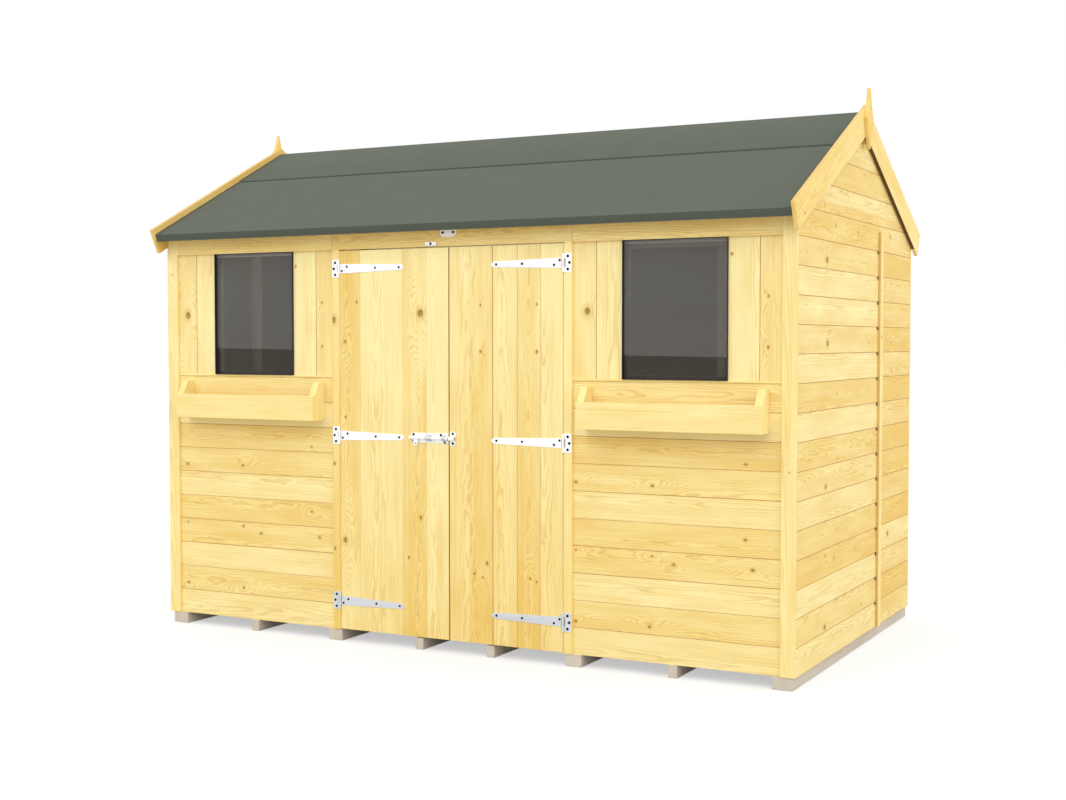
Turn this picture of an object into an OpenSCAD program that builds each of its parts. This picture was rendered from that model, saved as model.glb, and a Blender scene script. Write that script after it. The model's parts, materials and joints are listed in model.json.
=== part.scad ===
// Wooden garden shed with double doors, two windows, window boxes and a felted apex roof.
// Millimetres. The origin is on the ground under the middle of the shed.
// X runs along the length, Y from the front to the back and Z up.

/* [Overall] */
// Length of the shed over its end walls
shed_l = 3000; // [2600:10:3600]
// Depth of the shed over its front and back trims
shed_d = 1734; // [1400:2:2200]
// Height of the walls above the bearers
wall_h = 1752; // [1720:1:2100]
// Slope of the roof in degrees
roof_pitch = 26.4; // [20:0.1:32]

/* [Floor] */
// Height of a floor bearer
bearer_h = 50; // [35:1:80]
// Width of a single bearer
bearer_w = 36; // [25:1:50]
// Width of the doubled bearer under a panel joint
joint_bearer_w = 70; // [50:1:90]
// Width of the bearer under each end wall
end_bearer_w = 79; // [50:1:95]
// Distance of the bearers' ends from the trim face
bearer_setback = 5; // [0:1:10]
// Distance of the left end bearer from the left wall's face
left_bearer_inset = 19; // [0:1:30]
// Distance of the right end bearer from the right wall's face
right_bearer_inset = 10; // [0:1:30]
// Distance that the joint bearers lie to the right of the panel joints
joint_bearer_shift = 5; // [-10:1:10]
// Thickness of the floor boards
floor_t = 12; // [10:1:22]

/* [Walls] */
// Thickness of the cladding boards
clad_t = 12; // [8:1:20]
// Thickness of the corner trims, door posts and joint strips over the cladding
trim_t = 12; // [8:1:20]
// Width of a corner trim
trim_w = 58; // [45:1:80]
// Width of a strip over a panel joint
strip_w = 45; // [30:1:60]
// Height of a strip over a panel joint
strip_h = 1725; // [1500:1:1740]
// Depth of the wall framing
frame_d = 28; // [20:1:45]
// Width of the wall framing
frame_w = 45; // [35:1:60]
// Width of the middle bay that holds the doors
bay_w = 1154; // [1000:2:1300]
// Depth of the rear panel of each end wall
rear_panel_d = 572; // [450:1:700]
// Height of the middle rails above the bearers
mid_rail_z = 876; // [600:1:1200]

/* [Windows] */
// Width of a window opening
window_w = 434; // [300:2:520]
// Distance of a window's centre from the middle of the shed
window_x = 1010; // [980:1:1040]
// Height of the sill strip's underside above the bearers
sill_z = 1095; // [1060:1:1200]
// Height of the sill strip
sill_h = 8; // [6:1:20]
// Distance that the sill strip stands out from the cladding
sill_stand = 5; // [2:1:10]
// Height of the head rail's underside above the bearers
head_z = 1645; // [1620:1:1690]
// Thickness of a window pane
pane_t = 4; // [3:1:6]
// Distance that the framing laps behind a pane
pane_lap = 15; // [8:1:25]

/* [Doors] */
// Width of a door post
post_w = 34; // [30:1:50]
// Running gap round a door leaf
door_gap = 5; // [5:0.5:8]
// Place of the meeting line between the leaves
meeting_x = 10; // [0:1:20]
// Thickness of a door leaf
leaf_t = 12; // [10:1:20]
// Thickness of the ledges behind a leaf
ledge_t = 22; // [15:1:30]
// Width of a ledge
ledge_w = 95; // [70:1:110]
// Distance of a ledge's ends from the leaf's edges
ledge_inset = 20; // [10:1:40]
// Width of a brace along the ledge
brace_w = 110; // [70:1:140]

/* [Hinges] */
// Height of the lowest hinge above the bearers
hinge_low_z = 128; // [100:1:180]
// Height from one hinge to the next
hinge_pitch = 718; // [600:1:735]
// Width of a hinge plate, from the pin to its outer edge
plate_w = 36; // [28:1:36]
// Height of a hinge plate
plate_h = 76; // [64:1:90]
// Length of a strap from the pin to its tip
strap_l = 328; // [200:1:380]
// Height of a strap at the pin
strap_base_h = 41; // [30:1:50]
// Height of a strap near its tip
strap_tip_h = 24; // [18:1:30]
// Thickness of the hinge metal
metal_t = 2; // [1.5:0.1:2.2]
// Radius of a hinge knuckle
knuckle_r = 4.5; // [4.5:0.1:6]
// Radius of a hinge pin
pin_r = 2.25; // [1.8:0.05:2.25]

/* [Latches] */
// Height of the bolt above the bearers
bolt_z = 848; // [780:1:920]
// Length of the bolt's base plate
bolt_plate_l = 177; // [140:1:220]
// Height of the bolt's base plate
bolt_plate_h = 41; // [34:1:50]
// Radius of the bolt's bar
bolt_r = 6; // [4:0.5:7]
// Length of the bolt's bar
bolt_l = 190; // [150:1:230]
// Width of the keeper
keeper_w = 26; // [18:1:32]
// Height of the keeper
keeper_h = 58; // [50:1:70]
// Place of the turn button's pivot along the length
button_x = -74; // [-160:1:-60]
// Height of the turn button's pivot above the door gap
button_rise = 12; // [12:0.5:20]
// Length of the turn button
button_l = 54; // [44:1:70]
// Width of the turn button
button_w = 15; // [10:0.5:18]
// Width of the plate on the head rail
head_plate_w = 74; // [50:1:100]
// Height of the plate on the head rail
head_plate_h = 64; // [50:1:72]

/* [Window boxes] */
// Width of a window box
box_w = 762; // [600:2:780]
// Distance that a window box stands out from the cladding
box_d = 87; // [70:1:98]
// Height of a window box's front board
box_h = 107; // [80:1:140]
// Height of a window box's underside above the bearers
box_z = 908; // [800:1:920]
// Thickness of a window box's end cheeks
cheek_t = 32; // [18:1:40]
// Depth of the rear part of a cheek
cheek_rear_d = 40; // [30:1:45]
// Height of a cheek above the front board
cheek_rise = 59; // [20:1:65]

/* [Roof] */
// Height of the roof's underside over the top of an end wall's panel
eave_lift = 12; // [8:1:30]
// Distance that the felt's fold stands out from the trim face
eave_reach = 76; // [50:1:90]
// Thickness of the roof boards
deck_t = 12; // [9:1:18]
// Thickness of the roofing felt
felt_t = 2.5; // [2:0.1:4]
// Depth of the batten under an eave
eave_batten_t = 17; // [12:1:25]
// Distance of the ridge sheet's lap line from the ridge
lap_y = 344; // [250:1:450]
// Width of a barge board
barge_w = 114; // [90:1:130]
// Thickness of a barge board
barge_t = 15.5; // [12:0.5:20]
// Distance that a barge board stands above the felt
barge_stand = 25; // [15:1:35]
// Distance that a barge board's end stands past the felt's fold
barge_reach = 22; // [15:1:30]
// Height of a finial
finial_h = 253; // [200:1:300]
// Width of a finial
finial_w = 98; // [80:1:120]
// Thickness of a finial
finial_t = 15; // [10:1:20]
// Height of a finial's tip over the barge boards' peak
finial_rise = 68; // [50:1:90]

/* [Hidden] */
$fn = 48;

// Clearances and cuts
seat = 0.3;
overrun = 1;
panel_gap = 1;
pin_play = 0.05;
knuckle_play = 0.4;
bolt_play = 0.5;
pane_play = 1;

// Planes of the walls, as distances from the middle of the shed
end_x = shed_l / 2;
inner_x = end_x - clad_t;
room_x = inner_x - frame_d;
trim_x = end_x - trim_w;
bay_x = bay_w / 2;
post_x = bay_x - post_w;
face_y = shed_d / 2;
clad_y = face_y - trim_t;
frame_y = clad_y - clad_t;
room_y = frame_y - frame_d;
joint_y = face_y - rear_panel_d;

// Levels above the ground
base = bearer_h;
floor_top = base + floor_t;
sole_top = floor_top + frame_d;
wall_top = base + wall_h;
sill_low = base + sill_z;
sill_top = sill_low + sill_h;
head_low = base + head_z;
mid_low = base + mid_rail_z;

// Places of the bearers, tied to the end walls, windows and panel joints, and their split
bay_bearer_shares = [-0.245, 0.351];
bearer_places = [left_bearer_inset + end_bearer_w / 2 - end_x, -window_x, joint_bearer_shift - bay_x,
    bay_bearer_shares[0] * bay_x, bay_bearer_shares[1] * bay_x,
    joint_bearer_shift + bay_x, window_x, end_x - right_bearer_inset - end_bearer_w / 2];
bearer_widths = [end_bearer_w, bearer_w, joint_bearer_w, bearer_w,
    bearer_w, joint_bearer_w, bearer_w, end_bearer_w];
bearer_split = 3;

// Windows and their framing
window_near = window_x - window_w / 2;
window_far = window_x + window_w / 2;
stud_near = window_near + pane_lap;
stud_far = window_far - pane_lap;

// Studs as places of their centres
corner_stud_x = inner_x - frame_w / 2;
back_stud_x = [-corner_stud_x, -window_x, -bay_x, 0, bay_x, window_x, corner_stud_x];
corner_stud_y = room_y - frame_w / 2;
side_stud_y = [-corner_stud_y, (joint_y - corner_stud_y) / 2, joint_y, corner_stud_y];

// Roof planes, measured square to the slope from the underside of the boards
roof_t = deck_t + felt_t;
felt_low = deck_t + seat;
felt_top = roof_t + felt_t;
barge_top = felt_top + barge_stand;
fold_y = face_y + eave_reach;
barge_y = fold_y + barge_reach;
felt_end = 2;
felt_x = end_x + felt_end;
barge_x = felt_x + seat;
finial_x = barge_x + barge_t + seat;
lap_w = 44;
purlin_share = 0.5;
eave_batten_w = 30;
ridge_drop = 70;

// Height of the boards' underside at a depth, and of a plane parallel to it
function under(y) = wall_top + eave_lift + (clad_y - abs(y)) * tan(roof_pitch);
function layer(y, t) = under(y) + t / cos(roof_pitch);

// Point of a front end cut square to the slope: its reach, its top plane, a plane and an inset
function end_point(reach, top, t, inset = 0) = [
    (top - t) * sin(roof_pitch) + inset * cos(roof_pitch) - reach,
    layer(reach, top) - (top - t) * cos(roof_pitch) + inset * sin(roof_pitch)];

// Doors, hinges and latches
leaf_x = post_x - door_gap;
leaf_low = base + door_gap;
leaf_top = head_low - door_gap;
hinge_z = [for (i = [0 : 2]) base + hinge_low_z + i * hinge_pitch];
hinge_x = post_x - door_gap / 2;
hinge_y = face_y + knuckle_r;
strap_point_shares = [0.965, 0.35];
bolt_base_t = 1.5;
bolt_wall = 2;
bolt_y = face_y + bolt_base_t + 2 * bolt_play + bolt_r;
bolt_end = meeting_x - door_gap / 2;
bolt_plate_far = bolt_end - door_gap;
bolt_near = bolt_plate_far - bolt_plate_l;
guide_place_shares = [0.49, 0.92];
guide_w_shares = [0.165, 0.085];
tongue_share = 0.175;
tongue_w = 20;
tongue_h = 34;
tongue_t = 4;
tongue_eye_r = 5;
keeper_near = bolt_end + door_gap + overrun;
keeper_wall = 2.5;
keeper_in = bolt_r + bolt_play;
button_t = 3;
button_boss_r = 5;
head_plate_x = 7;
head_plate_cut = 10;

// Window boxes
box_board_t = 12;
box_near = window_x - box_w / 2;
box_far = window_x + box_w / 2;
box_y = clad_y + box_d;
box_low = base + box_z;
box_top = box_low + box_h;
cheek_top = box_top + cheek_rise;
cheek_rear_y = clad_y + cheek_rear_d;
cheek_cut = 16;

// Finial outline: height of its waist and the curve of its upper edges
finial_waist_share = 0.49;
finial_tip_share = 0.04;
finial_foot_share = 0.08;
finial_curve = 1.4;
finial_steps = 10;

// Colours of the materials
pine = [0.95, 0.83, 0.55];
pale_pine = [0.97, 0.88, 0.63];
rough_wood = [0.80, 0.75, 0.67];
felt_grey = [0.44, 0.47, 0.42];
zinc = [0.86, 0.87, 0.88];
pane_grey = [0.45, 0.45, 0.46, 0.6];

// A box between two opposite corners
module block(low, high) {
    translate(low) cube(high - low);
}

// A piece and its mirror image at the other end of the shed
module both_ends() {
    children();
    mirror([1, 0, 0]) children();
}

// A piece and its mirror image at the other face of the shed
module both_faces() {
    children();
    mirror([0, 1, 0]) children();
}

// An outline in depth and height, drawn out along the length
module along_x(from, to) {
    translate([from, 0, 0]) rotate([90, 0, 90]) linear_extrude(to - from) children();
}

// An outline in length and height, drawn out along the depth
module along_y(from, to) {
    translate([0, to, 0]) rotate([90, 0, 0]) linear_extrude(to - from) children();
}

module floor_bearers() {
    end_y = face_y - bearer_setback;
    color(rough_wood)
        for (i = [0 : len(bearer_widths) - 1]) {
            x = bearer_places[i];
            half = bearer_widths[i] / 2;
            block([x - half, -end_y, 0], [x + half, joint_y - bearer_split / 2, bearer_h]);
            block([x - half, joint_y + bearer_split / 2, 0], [x + half, end_y, bearer_h]);
        }
}

module floor_deck() {
    color(rough_wood) block([-inner_x, -frame_y, base], [inner_x, frame_y, floor_top]);
}

// Horizontal boards below the windows
module front_cladding() {
    color(pine) both_ends() block([bay_x, -clad_y, base], [inner_x, -frame_y, sill_low]);
}

// Upright boards beside the windows
module front_window_boards() {
    color(pine)
        both_ends() {
            block([bay_x, -clad_y, sill_top], [window_near, -frame_y, head_low]);
            block([window_far, -clad_y, sill_top], [inner_x, -frame_y, head_low]);
        }
}

module sill_strips() {
    color(pale_pine)
        both_ends() block([bay_x, -clad_y - sill_stand, sill_low], [trim_x, -frame_y, sill_top]);
}

// One rail over the doors and one over each window
module head_rails() {
    top = under(face_y) - seat;
    half_gap = panel_gap / 2;
    color(pine) {
        block([half_gap - bay_x, -face_y, head_low], [bay_x - half_gap, -frame_y, top]);
        both_ends() block([bay_x + half_gap, -face_y, head_low], [trim_x, -frame_y, top]);
    }
}

module door_posts() {
    color(pale_pine) both_ends() block([post_x, -face_y, base], [bay_x, -frame_y, head_low]);
}

module corner_trims() {
    top = under(face_y) - seat;
    color(pale_pine)
        both_ends() both_faces() block([trim_x, -face_y, base], [end_x, -clad_y, top]);
}

module window_panes() {
    color(pane_grey)
        both_ends()
            block([window_near + pane_play, -frame_y - pane_t, sill_top + seat],
                [window_far - pane_play, -frame_y, head_low - seat]);
}

// Front and rear panel of the right end wall
module end_wall_panels() {
    half_gap = panel_gap / 2;
    block([inner_x, -clad_y, base], [end_x, joint_y - half_gap, wall_top]);
    block([inner_x, joint_y + half_gap, base], [end_x, clad_y, wall_top]);
}

module right_wall_panels() {
    color(pine) end_wall_panels();
}

module left_wall_panels() {
    color(pine) mirror([1, 0, 0]) end_wall_panels();
}

// Right gable, from the top of the panels to the roof boards
module gable() {
    shoulder = under(clad_y) - seat;
    along_x(inner_x, end_x)
        polygon([[-clad_y, wall_top], [clad_y, wall_top], [clad_y, shoulder],
            [0, under(0) - seat], [-clad_y, shoulder]]);
}

module right_gable() {
    color(pine) gable();
}

module left_gable() {
    color(pine) mirror([1, 0, 0]) gable();
}

module back_panels() {
    top = under(clad_y) - seat;
    half_gap = panel_gap / 2;
    color(pine) {
        block([half_gap - bay_x, frame_y, base], [bay_x - half_gap, clad_y, top]);
        both_ends() block([bay_x + half_gap, frame_y, base], [inner_x, clad_y, top]);
    }
}

// Strips over the panel joints of the end walls and the back wall
module joint_strips() {
    half = strip_w / 2;
    top = base + strip_h;
    color(pale_pine)
        both_ends() {
            block([end_x, joint_y - half, base], [end_x + trim_t, joint_y + half, top]);
            block([bay_x - half, clad_y, base], [bay_x + half, face_y, top]);
        }
}

module sole_plates() {
    color(pine) {
        both_ends() {
            block([post_x, -frame_y, floor_top], [inner_x, -room_y, sole_top]);
            block([room_x, seat - room_y, floor_top], [inner_x, room_y - seat, sole_top]);
        }
        block([-inner_x, room_y, floor_top], [inner_x, frame_y, sole_top]);
    }
}

module top_plates() {
    top = under(frame_y) - seat;
    color(pine) {
        both_faces() block([-inner_x, -frame_y, top - frame_w], [inner_x, -room_y, top]);
        both_ends()
            block([room_x, seat - room_y, wall_top - frame_w], [inner_x, room_y - seat, wall_top]);
    }
}

// Studs of the front wall at the corners, the windows and the doors
module front_studs() {
    top = under(frame_y) - seat - frame_w;
    near_edges = [inner_x - frame_w, stud_far, stud_near - frame_w, post_x];
    color(pine)
        both_ends()
            for (x = near_edges) block([x, -frame_y, sole_top], [x + frame_w, -room_y, top]);
}

module back_studs() {
    top = under(frame_y) - seat - frame_w;
    half = frame_w / 2;
    color(pine)
        for (x = back_stud_x) block([x - half, room_y, sole_top], [x + half, frame_y, top]);
}

module side_studs() {
    half = frame_w / 2;
    color(pine)
        both_ends()
            for (y = side_stud_y)
                block([room_x, y - half, sole_top], [inner_x, y + half, wall_top - frame_w]);
}

// Rails of the framing under and over each window
module window_rails() {
    low_top = sill_top + pane_lap;
    high_low = head_low - pane_lap;
    color(pine)
        both_ends() {
            block([stud_near, -frame_y, low_top - frame_w], [stud_far, -room_y, low_top]);
            block([stud_near, -frame_y, high_low], [stud_far, -room_y, high_low + frame_w]);
        }
}

// Middle rails between the studs of the back and end walls
module mid_rails() {
    half = frame_w / 2;
    low = mid_low - half;
    high = mid_low + half;
    color(pine) {
        for (i = [1 : len(back_stud_x) - 1])
            block([back_stud_x[i - 1] + half, room_y, low], [back_stud_x[i] - half, frame_y, high]);
        both_ends()
            for (i = [1 : len(side_stud_y) - 1])
                block([room_x, side_stud_y[i - 1] + half, low], [inner_x, side_stud_y[i] - half, high]);
    }
}

// Sloping rails inside the gables, which stand on the end walls' top plates
module gable_rafters() {
    half_gap = panel_gap / 2;
    foot_y = clad_y - (frame_w / cos(roof_pitch) - eave_lift) / tan(roof_pitch);
    color(pine)
        both_ends() both_faces()
            along_x(room_x, inner_x)
                polygon([[-foot_y, wall_top], [-half_gap, layer(half_gap, -frame_w)],
                    [-half_gap, under(half_gap) - seat], [-room_y, under(room_y) - seat],
                    [-room_y, wall_top]]);
}

// A ridge board and one purlin under each slope, between the gable rafters
module roof_purlins() {
    half = frame_d / 2;
    half_run = half * cos(roof_pitch);
    place = clad_y * purlin_share;
    color(pine) {
        along_x(-room_x, room_x)
            polygon([[0, under(0) - seat], [half, under(half) - seat], [half, under(0) - ridge_drop],
                [-half, under(0) - ridge_drop], [-half, under(half) - seat]]);
        both_faces()
            along_x(-room_x, room_x)
                polygon([end_point(place - half_run, 0, -seat), end_point(place + half_run, 0, -seat),
                    end_point(place + half_run, 0, -frame_w), end_point(place - half_run, 0, -frame_w)]);
    }
}

module eave_battens() {
    color(pine)
        both_faces()
            along_x(-end_x, end_x)
                polygon([for (p = [[seat, 0], [seat, 1], [eave_batten_t, 1], [eave_batten_t, 0]])
                    end_point(fold_y, roof_t, -p[0], felt_t + p[1] * eave_batten_w)]);
}

module roof_deck() {
    half_gap = panel_gap / 2;
    color(pine)
        both_faces()
            along_x(-end_x, end_x)
                polygon([end_point(fold_y, roof_t, 0, felt_t), end_point(fold_y, roof_t, deck_t, felt_t),
                    [-half_gap, layer(half_gap, deck_t)], [-half_gap, under(half_gap)]]);
}

// Lower sheet on each slope, folded down over the eave
module felt_slopes() {
    top_y = lap_y - lap_w;
    color(felt_grey)
        both_faces()
            along_x(-felt_x, felt_x)
                polygon([end_point(fold_y, roof_t, -eave_batten_t), end_point(fold_y, roof_t, roof_t),
                    [-top_y, layer(top_y, roof_t)], [-top_y, layer(top_y, felt_low)],
                    end_point(fold_y, roof_t, felt_low, felt_t - seat),
                    end_point(fold_y, roof_t, -eave_batten_t, felt_t - seat)]);
}

// Upper sheet over the ridge, which laps the lower sheets
module felt_ridge() {
    step_y = lap_y - lap_w - seat;
    half = [[0, layer(0, felt_top)], [lap_y, layer(lap_y, felt_top)], [lap_y, layer(lap_y, roof_t)],
        [step_y, layer(step_y, roof_t)], [step_y, layer(step_y, felt_low)], [0, layer(0, felt_low)]];
    other = [for (i = [len(half) - 2 : -1 : 1]) [-half[i][0], half[i][1]]];
    color(felt_grey) along_x(-felt_x, felt_x) polygon(concat(half, other));
}

// Pair of barge boards on the right gable, which meet in an upright joint
module barge_boards() {
    half_gap = panel_gap / 2;
    low = barge_top - barge_w;
    both_faces()
        along_x(barge_x, barge_x + barge_t)
            polygon([end_point(barge_y, barge_top, barge_top), end_point(barge_y, barge_top, low),
                [-half_gap, layer(half_gap, low)], [-half_gap, layer(half_gap, barge_top)]]);
}

module right_barge_boards() {
    color(pale_pine) barge_boards();
}

module left_barge_boards() {
    color(pale_pine) mirror([1, 0, 0]) barge_boards();
}

// Kite-shaped finial over the barge boards' joint, with hollow upper edges
module finials() {
    tip = layer(0, barge_top) + finial_rise;
    waist_h = finial_h * finial_waist_share;
    tip_half = finial_w * finial_tip_share / 2;
    spread = finial_w / 2 - tip_half;
    edge = [for (i = [0 : finial_steps])
        [tip_half + spread * pow(i / finial_steps, finial_curve), tip - waist_h * i / finial_steps]];
    half = concat(edge, [[finial_w * finial_foot_share / 2, tip - finial_h]]);
    other = [for (i = [len(half) - 1 : -1 : 0]) [-half[i][0], half[i][1]]];
    color(pale_pine)
        both_ends() along_x(finial_x, finial_x + finial_t) polygon(concat(half, other));
}

// One cheek of a window box: an upright rear part and a sloping front part
module cheek(near) {
    front_y = box_y - box_board_t - seat;
    rear_y = cheek_rear_y + seat;
    along_x(near, near + cheek_t) {
        polygon([[-clad_y, box_low + cheek_cut], [-clad_y, cheek_top], [-cheek_rear_y, cheek_top],
            [-cheek_rear_y, box_low], [-clad_y - cheek_cut, box_low]]);
        polygon([[-rear_y, box_low], [-rear_y, cheek_top], [-front_y, box_top], [-front_y, box_low]]);
    }
}

// Window box under the right window, open at the top and against the wall
module window_box() {
    inside_near = box_near + cheek_t + seat;
    inside_far = box_far - cheek_t - seat;
    back_y = box_y - box_board_t;
    block([box_near, -box_y, box_low], [box_far, -back_y, box_top]);
    cheek(box_near);
    cheek(box_far - cheek_t);
    block([inside_near, -back_y + seat, box_low], [inside_far, -clad_y, box_low + box_board_t]);
}

module window_box_right() {
    color(pale_pine) window_box();
}

module window_box_left() {
    color(pale_pine) mirror([1, 0, 0]) window_box();
}

// Hinge plate to the left of its pin, with two knuckles and a slot between them
module hinge_plate() {
    slot_h = strap_base_h + 2 * knuckle_play;
    slot_w = knuckle_r + knuckle_play;
    knuckle_h = (plate_h - slot_h) / 2;
    difference() {
        block([-plate_w, knuckle_r - metal_t, -plate_h / 2], [0, knuckle_r, plate_h / 2]);
        block([-slot_w, -knuckle_r, -slot_h / 2], [overrun, 2 * knuckle_r, slot_h / 2]);
    }
    cylinder(r = pin_r, h = plate_h, center = true);
    for (z = [-plate_h / 2, slot_h / 2]) translate([0, 0, z]) cylinder(r = knuckle_r, h = knuckle_h);
}

// Tapered strap to the right of its pin, with one bored knuckle
module hinge_strap() {
    point_x = strap_l * strap_point_shares[0];
    point_h = strap_tip_h * strap_point_shares[1];
    outline = [[0, strap_base_h / 2], [point_x, strap_tip_h / 2], [strap_l, point_h / 2],
        [strap_l, -point_h / 2], [point_x, -strap_tip_h / 2], [0, -strap_base_h / 2]];
    difference() {
        union() {
            cylinder(r = knuckle_r, h = strap_base_h, center = true);
            along_y(knuckle_r - metal_t, knuckle_r) polygon(outline);
        }
        cylinder(r = pin_r + pin_play, h = plate_h, center = true);
    }
}

// A hinge piece at each hinge of the left leaf, or turned over at each hinge of the right leaf
module at_left_hinges() {
    for (z = hinge_z) translate([-hinge_x, -hinge_y, z]) children();
}

module at_right_hinges() {
    for (z = hinge_z) translate([hinge_x, -hinge_y, z]) rotate([0, 180, 0]) children();
}

module hinge_plates() {
    color(zinc) {
        at_left_hinges() hinge_plate();
        at_right_hinges() hinge_plate();
    }
}

module door_left_straps() {
    color(zinc) at_left_hinges() hinge_strap();
}

module door_right_straps() {
    color(zinc) at_right_hinges() hinge_strap();
}

// A leaf between two places along the length
module leaf(near, far) {
    block([near, -face_y, leaf_low], [far, leaf_t - face_y, leaf_top]);
}

// Ledges behind a leaf, with a brace that rises from the hinge side in each bay
module ledges(hinge_side, free_side) {
    run = free_side > hinge_side ? 1 : -1;
    low_x = hinge_side + run * ledge_inset;
    high_x = free_side - run * ledge_inset;
    back_y = leaf_t - face_y;
    for (z = hinge_z)
        block([min(low_x, high_x), back_y, z - ledge_w / 2],
            [max(low_x, high_x), back_y + ledge_t, z + ledge_w / 2]);
    for (i = [1 : len(hinge_z) - 1]) {
        low_z = hinge_z[i - 1] + ledge_w / 2 + seat;
        high_z = hinge_z[i] - ledge_w / 2 - seat;
        along_y(back_y, back_y + ledge_t)
            polygon([[low_x, low_z], [low_x + run * brace_w, low_z],
                [high_x, high_z], [high_x - run * brace_w, high_z]]);
    }
}

module door_left_boards() {
    color(pine) leaf(-leaf_x, bolt_end);
}

module door_left_ledges() {
    color(pine) ledges(-leaf_x, bolt_end);
}

module door_right_boards() {
    color(pine) leaf(bolt_end + door_gap, leaf_x);
}

module door_right_ledges() {
    color(pine) ledges(leaf_x, bolt_end + door_gap);
}

// Base plate of the bolt with its two guides
module bolt_plate() {
    half_h = bolt_plate_h / 2;
    z = base + bolt_z;
    guide_half = bolt_r + bolt_play + bolt_wall;
    color(zinc) {
        block([bolt_near, -face_y - bolt_base_t, z - half_h], [bolt_plate_far, -face_y, z + half_h]);
        for (i = [0 : len(guide_place_shares) - 1]) {
            x = bolt_near + bolt_plate_l * guide_place_shares[i];
            half_w = bolt_plate_l * guide_w_shares[i] / 2;
            difference() {
                block([x - half_w, -bolt_y - guide_half, z - guide_half],
                    [x + half_w, -face_y, z + guide_half]);
                translate([x - half_w - overrun, -bolt_y, z])
                    rotate([0, 90, 0]) cylinder(r = bolt_r + bolt_play, h = 2 * (half_w + overrun));
            }
        }
    }
}

// Bar of the bolt, drawn back, with a hanging tongue that has an eye for a padlock
module bolt_bar() {
    z = base + bolt_z;
    x = bolt_end - bolt_l * (1 - tongue_share);
    half_w = tongue_w / 2;
    half_t = tongue_t / 2;
    eye_z = z - tongue_h + half_w;
    color(zinc) {
        translate([bolt_end - bolt_l, -bolt_y, z]) rotate([0, 90, 0]) cylinder(r = bolt_r, h = bolt_l);
        difference() {
            union() {
                block([x - half_w, -bolt_y - half_t, eye_z], [x + half_w, -bolt_y + half_t, z]);
                translate([x, -bolt_y, eye_z]) rotate([90, 0, 0])
                    cylinder(r = half_w, h = tongue_t, center = true);
            }
            translate([x, -bolt_y, eye_z]) rotate([90, 0, 0])
                cylinder(r = tongue_eye_r, h = tongue_t + 2 * overrun, center = true);
        }
    }
}

// Keeper on the right leaf: two feet, two walls and a bridge round the bar's place
module bolt_keeper() {
    z = base + bolt_z;
    far = keeper_near + keeper_w;
    wall_out = keeper_in + keeper_wall;
    bridge_y = bolt_y + keeper_in;
    foot_y = face_y + bolt_base_t;
    color(zinc) {
        for (turn = [0, 1])
            translate([0, 0, z]) mirror([0, 0, turn]) {
                block([keeper_near, -foot_y, wall_out + seat], [far, -face_y, keeper_h / 2]);
                block([keeper_near, seat - bridge_y, keeper_in], [far, -face_y, wall_out]);
            }
        block([keeper_near, -bridge_y - keeper_wall, z - wall_out], [far, -bridge_y, z + wall_out]);
    }
}

// Plate with clipped lower corners on the head rail, partly hidden by the eave
module head_plate() {
    half = head_plate_w / 2;
    low = under(face_y) - seat - head_plate_h - head_plate_cut;
    color(zinc)
        along_y(-face_y - metal_t, -face_y)
            translate([head_plate_x, low])
                polygon([[head_plate_cut - half, 0], [half - head_plate_cut, 0], [half, head_plate_cut],
                    [half, head_plate_h], [-half, head_plate_h], [-half, head_plate_cut]]);
}

// Turn button on the head rail, turned level so that the left leaf is free
module turn_button() {
    z = head_low + button_rise;
    front_y = face_y + door_gap;
    color(zinc) {
        block([button_x - button_l / 2, -front_y - button_t, z - button_w / 2],
            [button_x + button_l / 2, -front_y, z + button_w / 2]);
        translate([button_x, -face_y - seat, z]) rotate([90, 0, 0])
            cylinder(r = button_boss_r, h = door_gap);
    }
}

floor_bearers();
floor_deck();
front_cladding();
front_window_boards();
sill_strips();
head_rails();
door_posts();
corner_trims();
window_panes();
left_wall_panels();
left_gable();
right_wall_panels();
right_gable();
back_panels();
joint_strips();
sole_plates();
top_plates();
front_studs();
back_studs();
side_studs();
window_rails();
mid_rails();
gable_rafters();
roof_purlins();
eave_battens();
roof_deck();
felt_slopes();
felt_ridge();
left_barge_boards();
right_barge_boards();
finials();
window_box_left();
window_box_right();
hinge_plates();
door_left_boards();
door_left_ledges();
door_left_straps();
door_right_boards();
door_right_ledges();
door_right_straps();
bolt_plate();
bolt_bar();
bolt_keeper();
head_plate();
turn_button();
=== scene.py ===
import json
import math
import random

import bmesh
import bpy
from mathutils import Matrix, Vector


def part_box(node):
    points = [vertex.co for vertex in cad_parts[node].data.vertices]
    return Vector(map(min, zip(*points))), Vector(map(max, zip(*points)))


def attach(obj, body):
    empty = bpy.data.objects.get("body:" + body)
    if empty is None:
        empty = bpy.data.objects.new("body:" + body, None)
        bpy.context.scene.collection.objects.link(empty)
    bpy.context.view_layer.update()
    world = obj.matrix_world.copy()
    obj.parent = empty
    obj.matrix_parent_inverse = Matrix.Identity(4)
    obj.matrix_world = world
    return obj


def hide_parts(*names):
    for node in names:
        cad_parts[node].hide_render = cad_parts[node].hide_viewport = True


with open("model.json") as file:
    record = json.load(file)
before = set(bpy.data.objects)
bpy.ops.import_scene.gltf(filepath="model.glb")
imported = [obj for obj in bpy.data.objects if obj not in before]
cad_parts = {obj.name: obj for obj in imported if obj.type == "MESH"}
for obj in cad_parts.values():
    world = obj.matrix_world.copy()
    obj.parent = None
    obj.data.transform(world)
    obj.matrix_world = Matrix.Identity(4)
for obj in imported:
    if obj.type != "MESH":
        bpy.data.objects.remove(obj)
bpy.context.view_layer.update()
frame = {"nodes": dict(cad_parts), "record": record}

# Lengths are in metres, in the frame of the CAD model.
X, Y, Z = Vector((1, 0, 0)), Vector((0, 1, 0)), Vector((0, 0, 1))
TURN = 2 * math.pi
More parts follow.
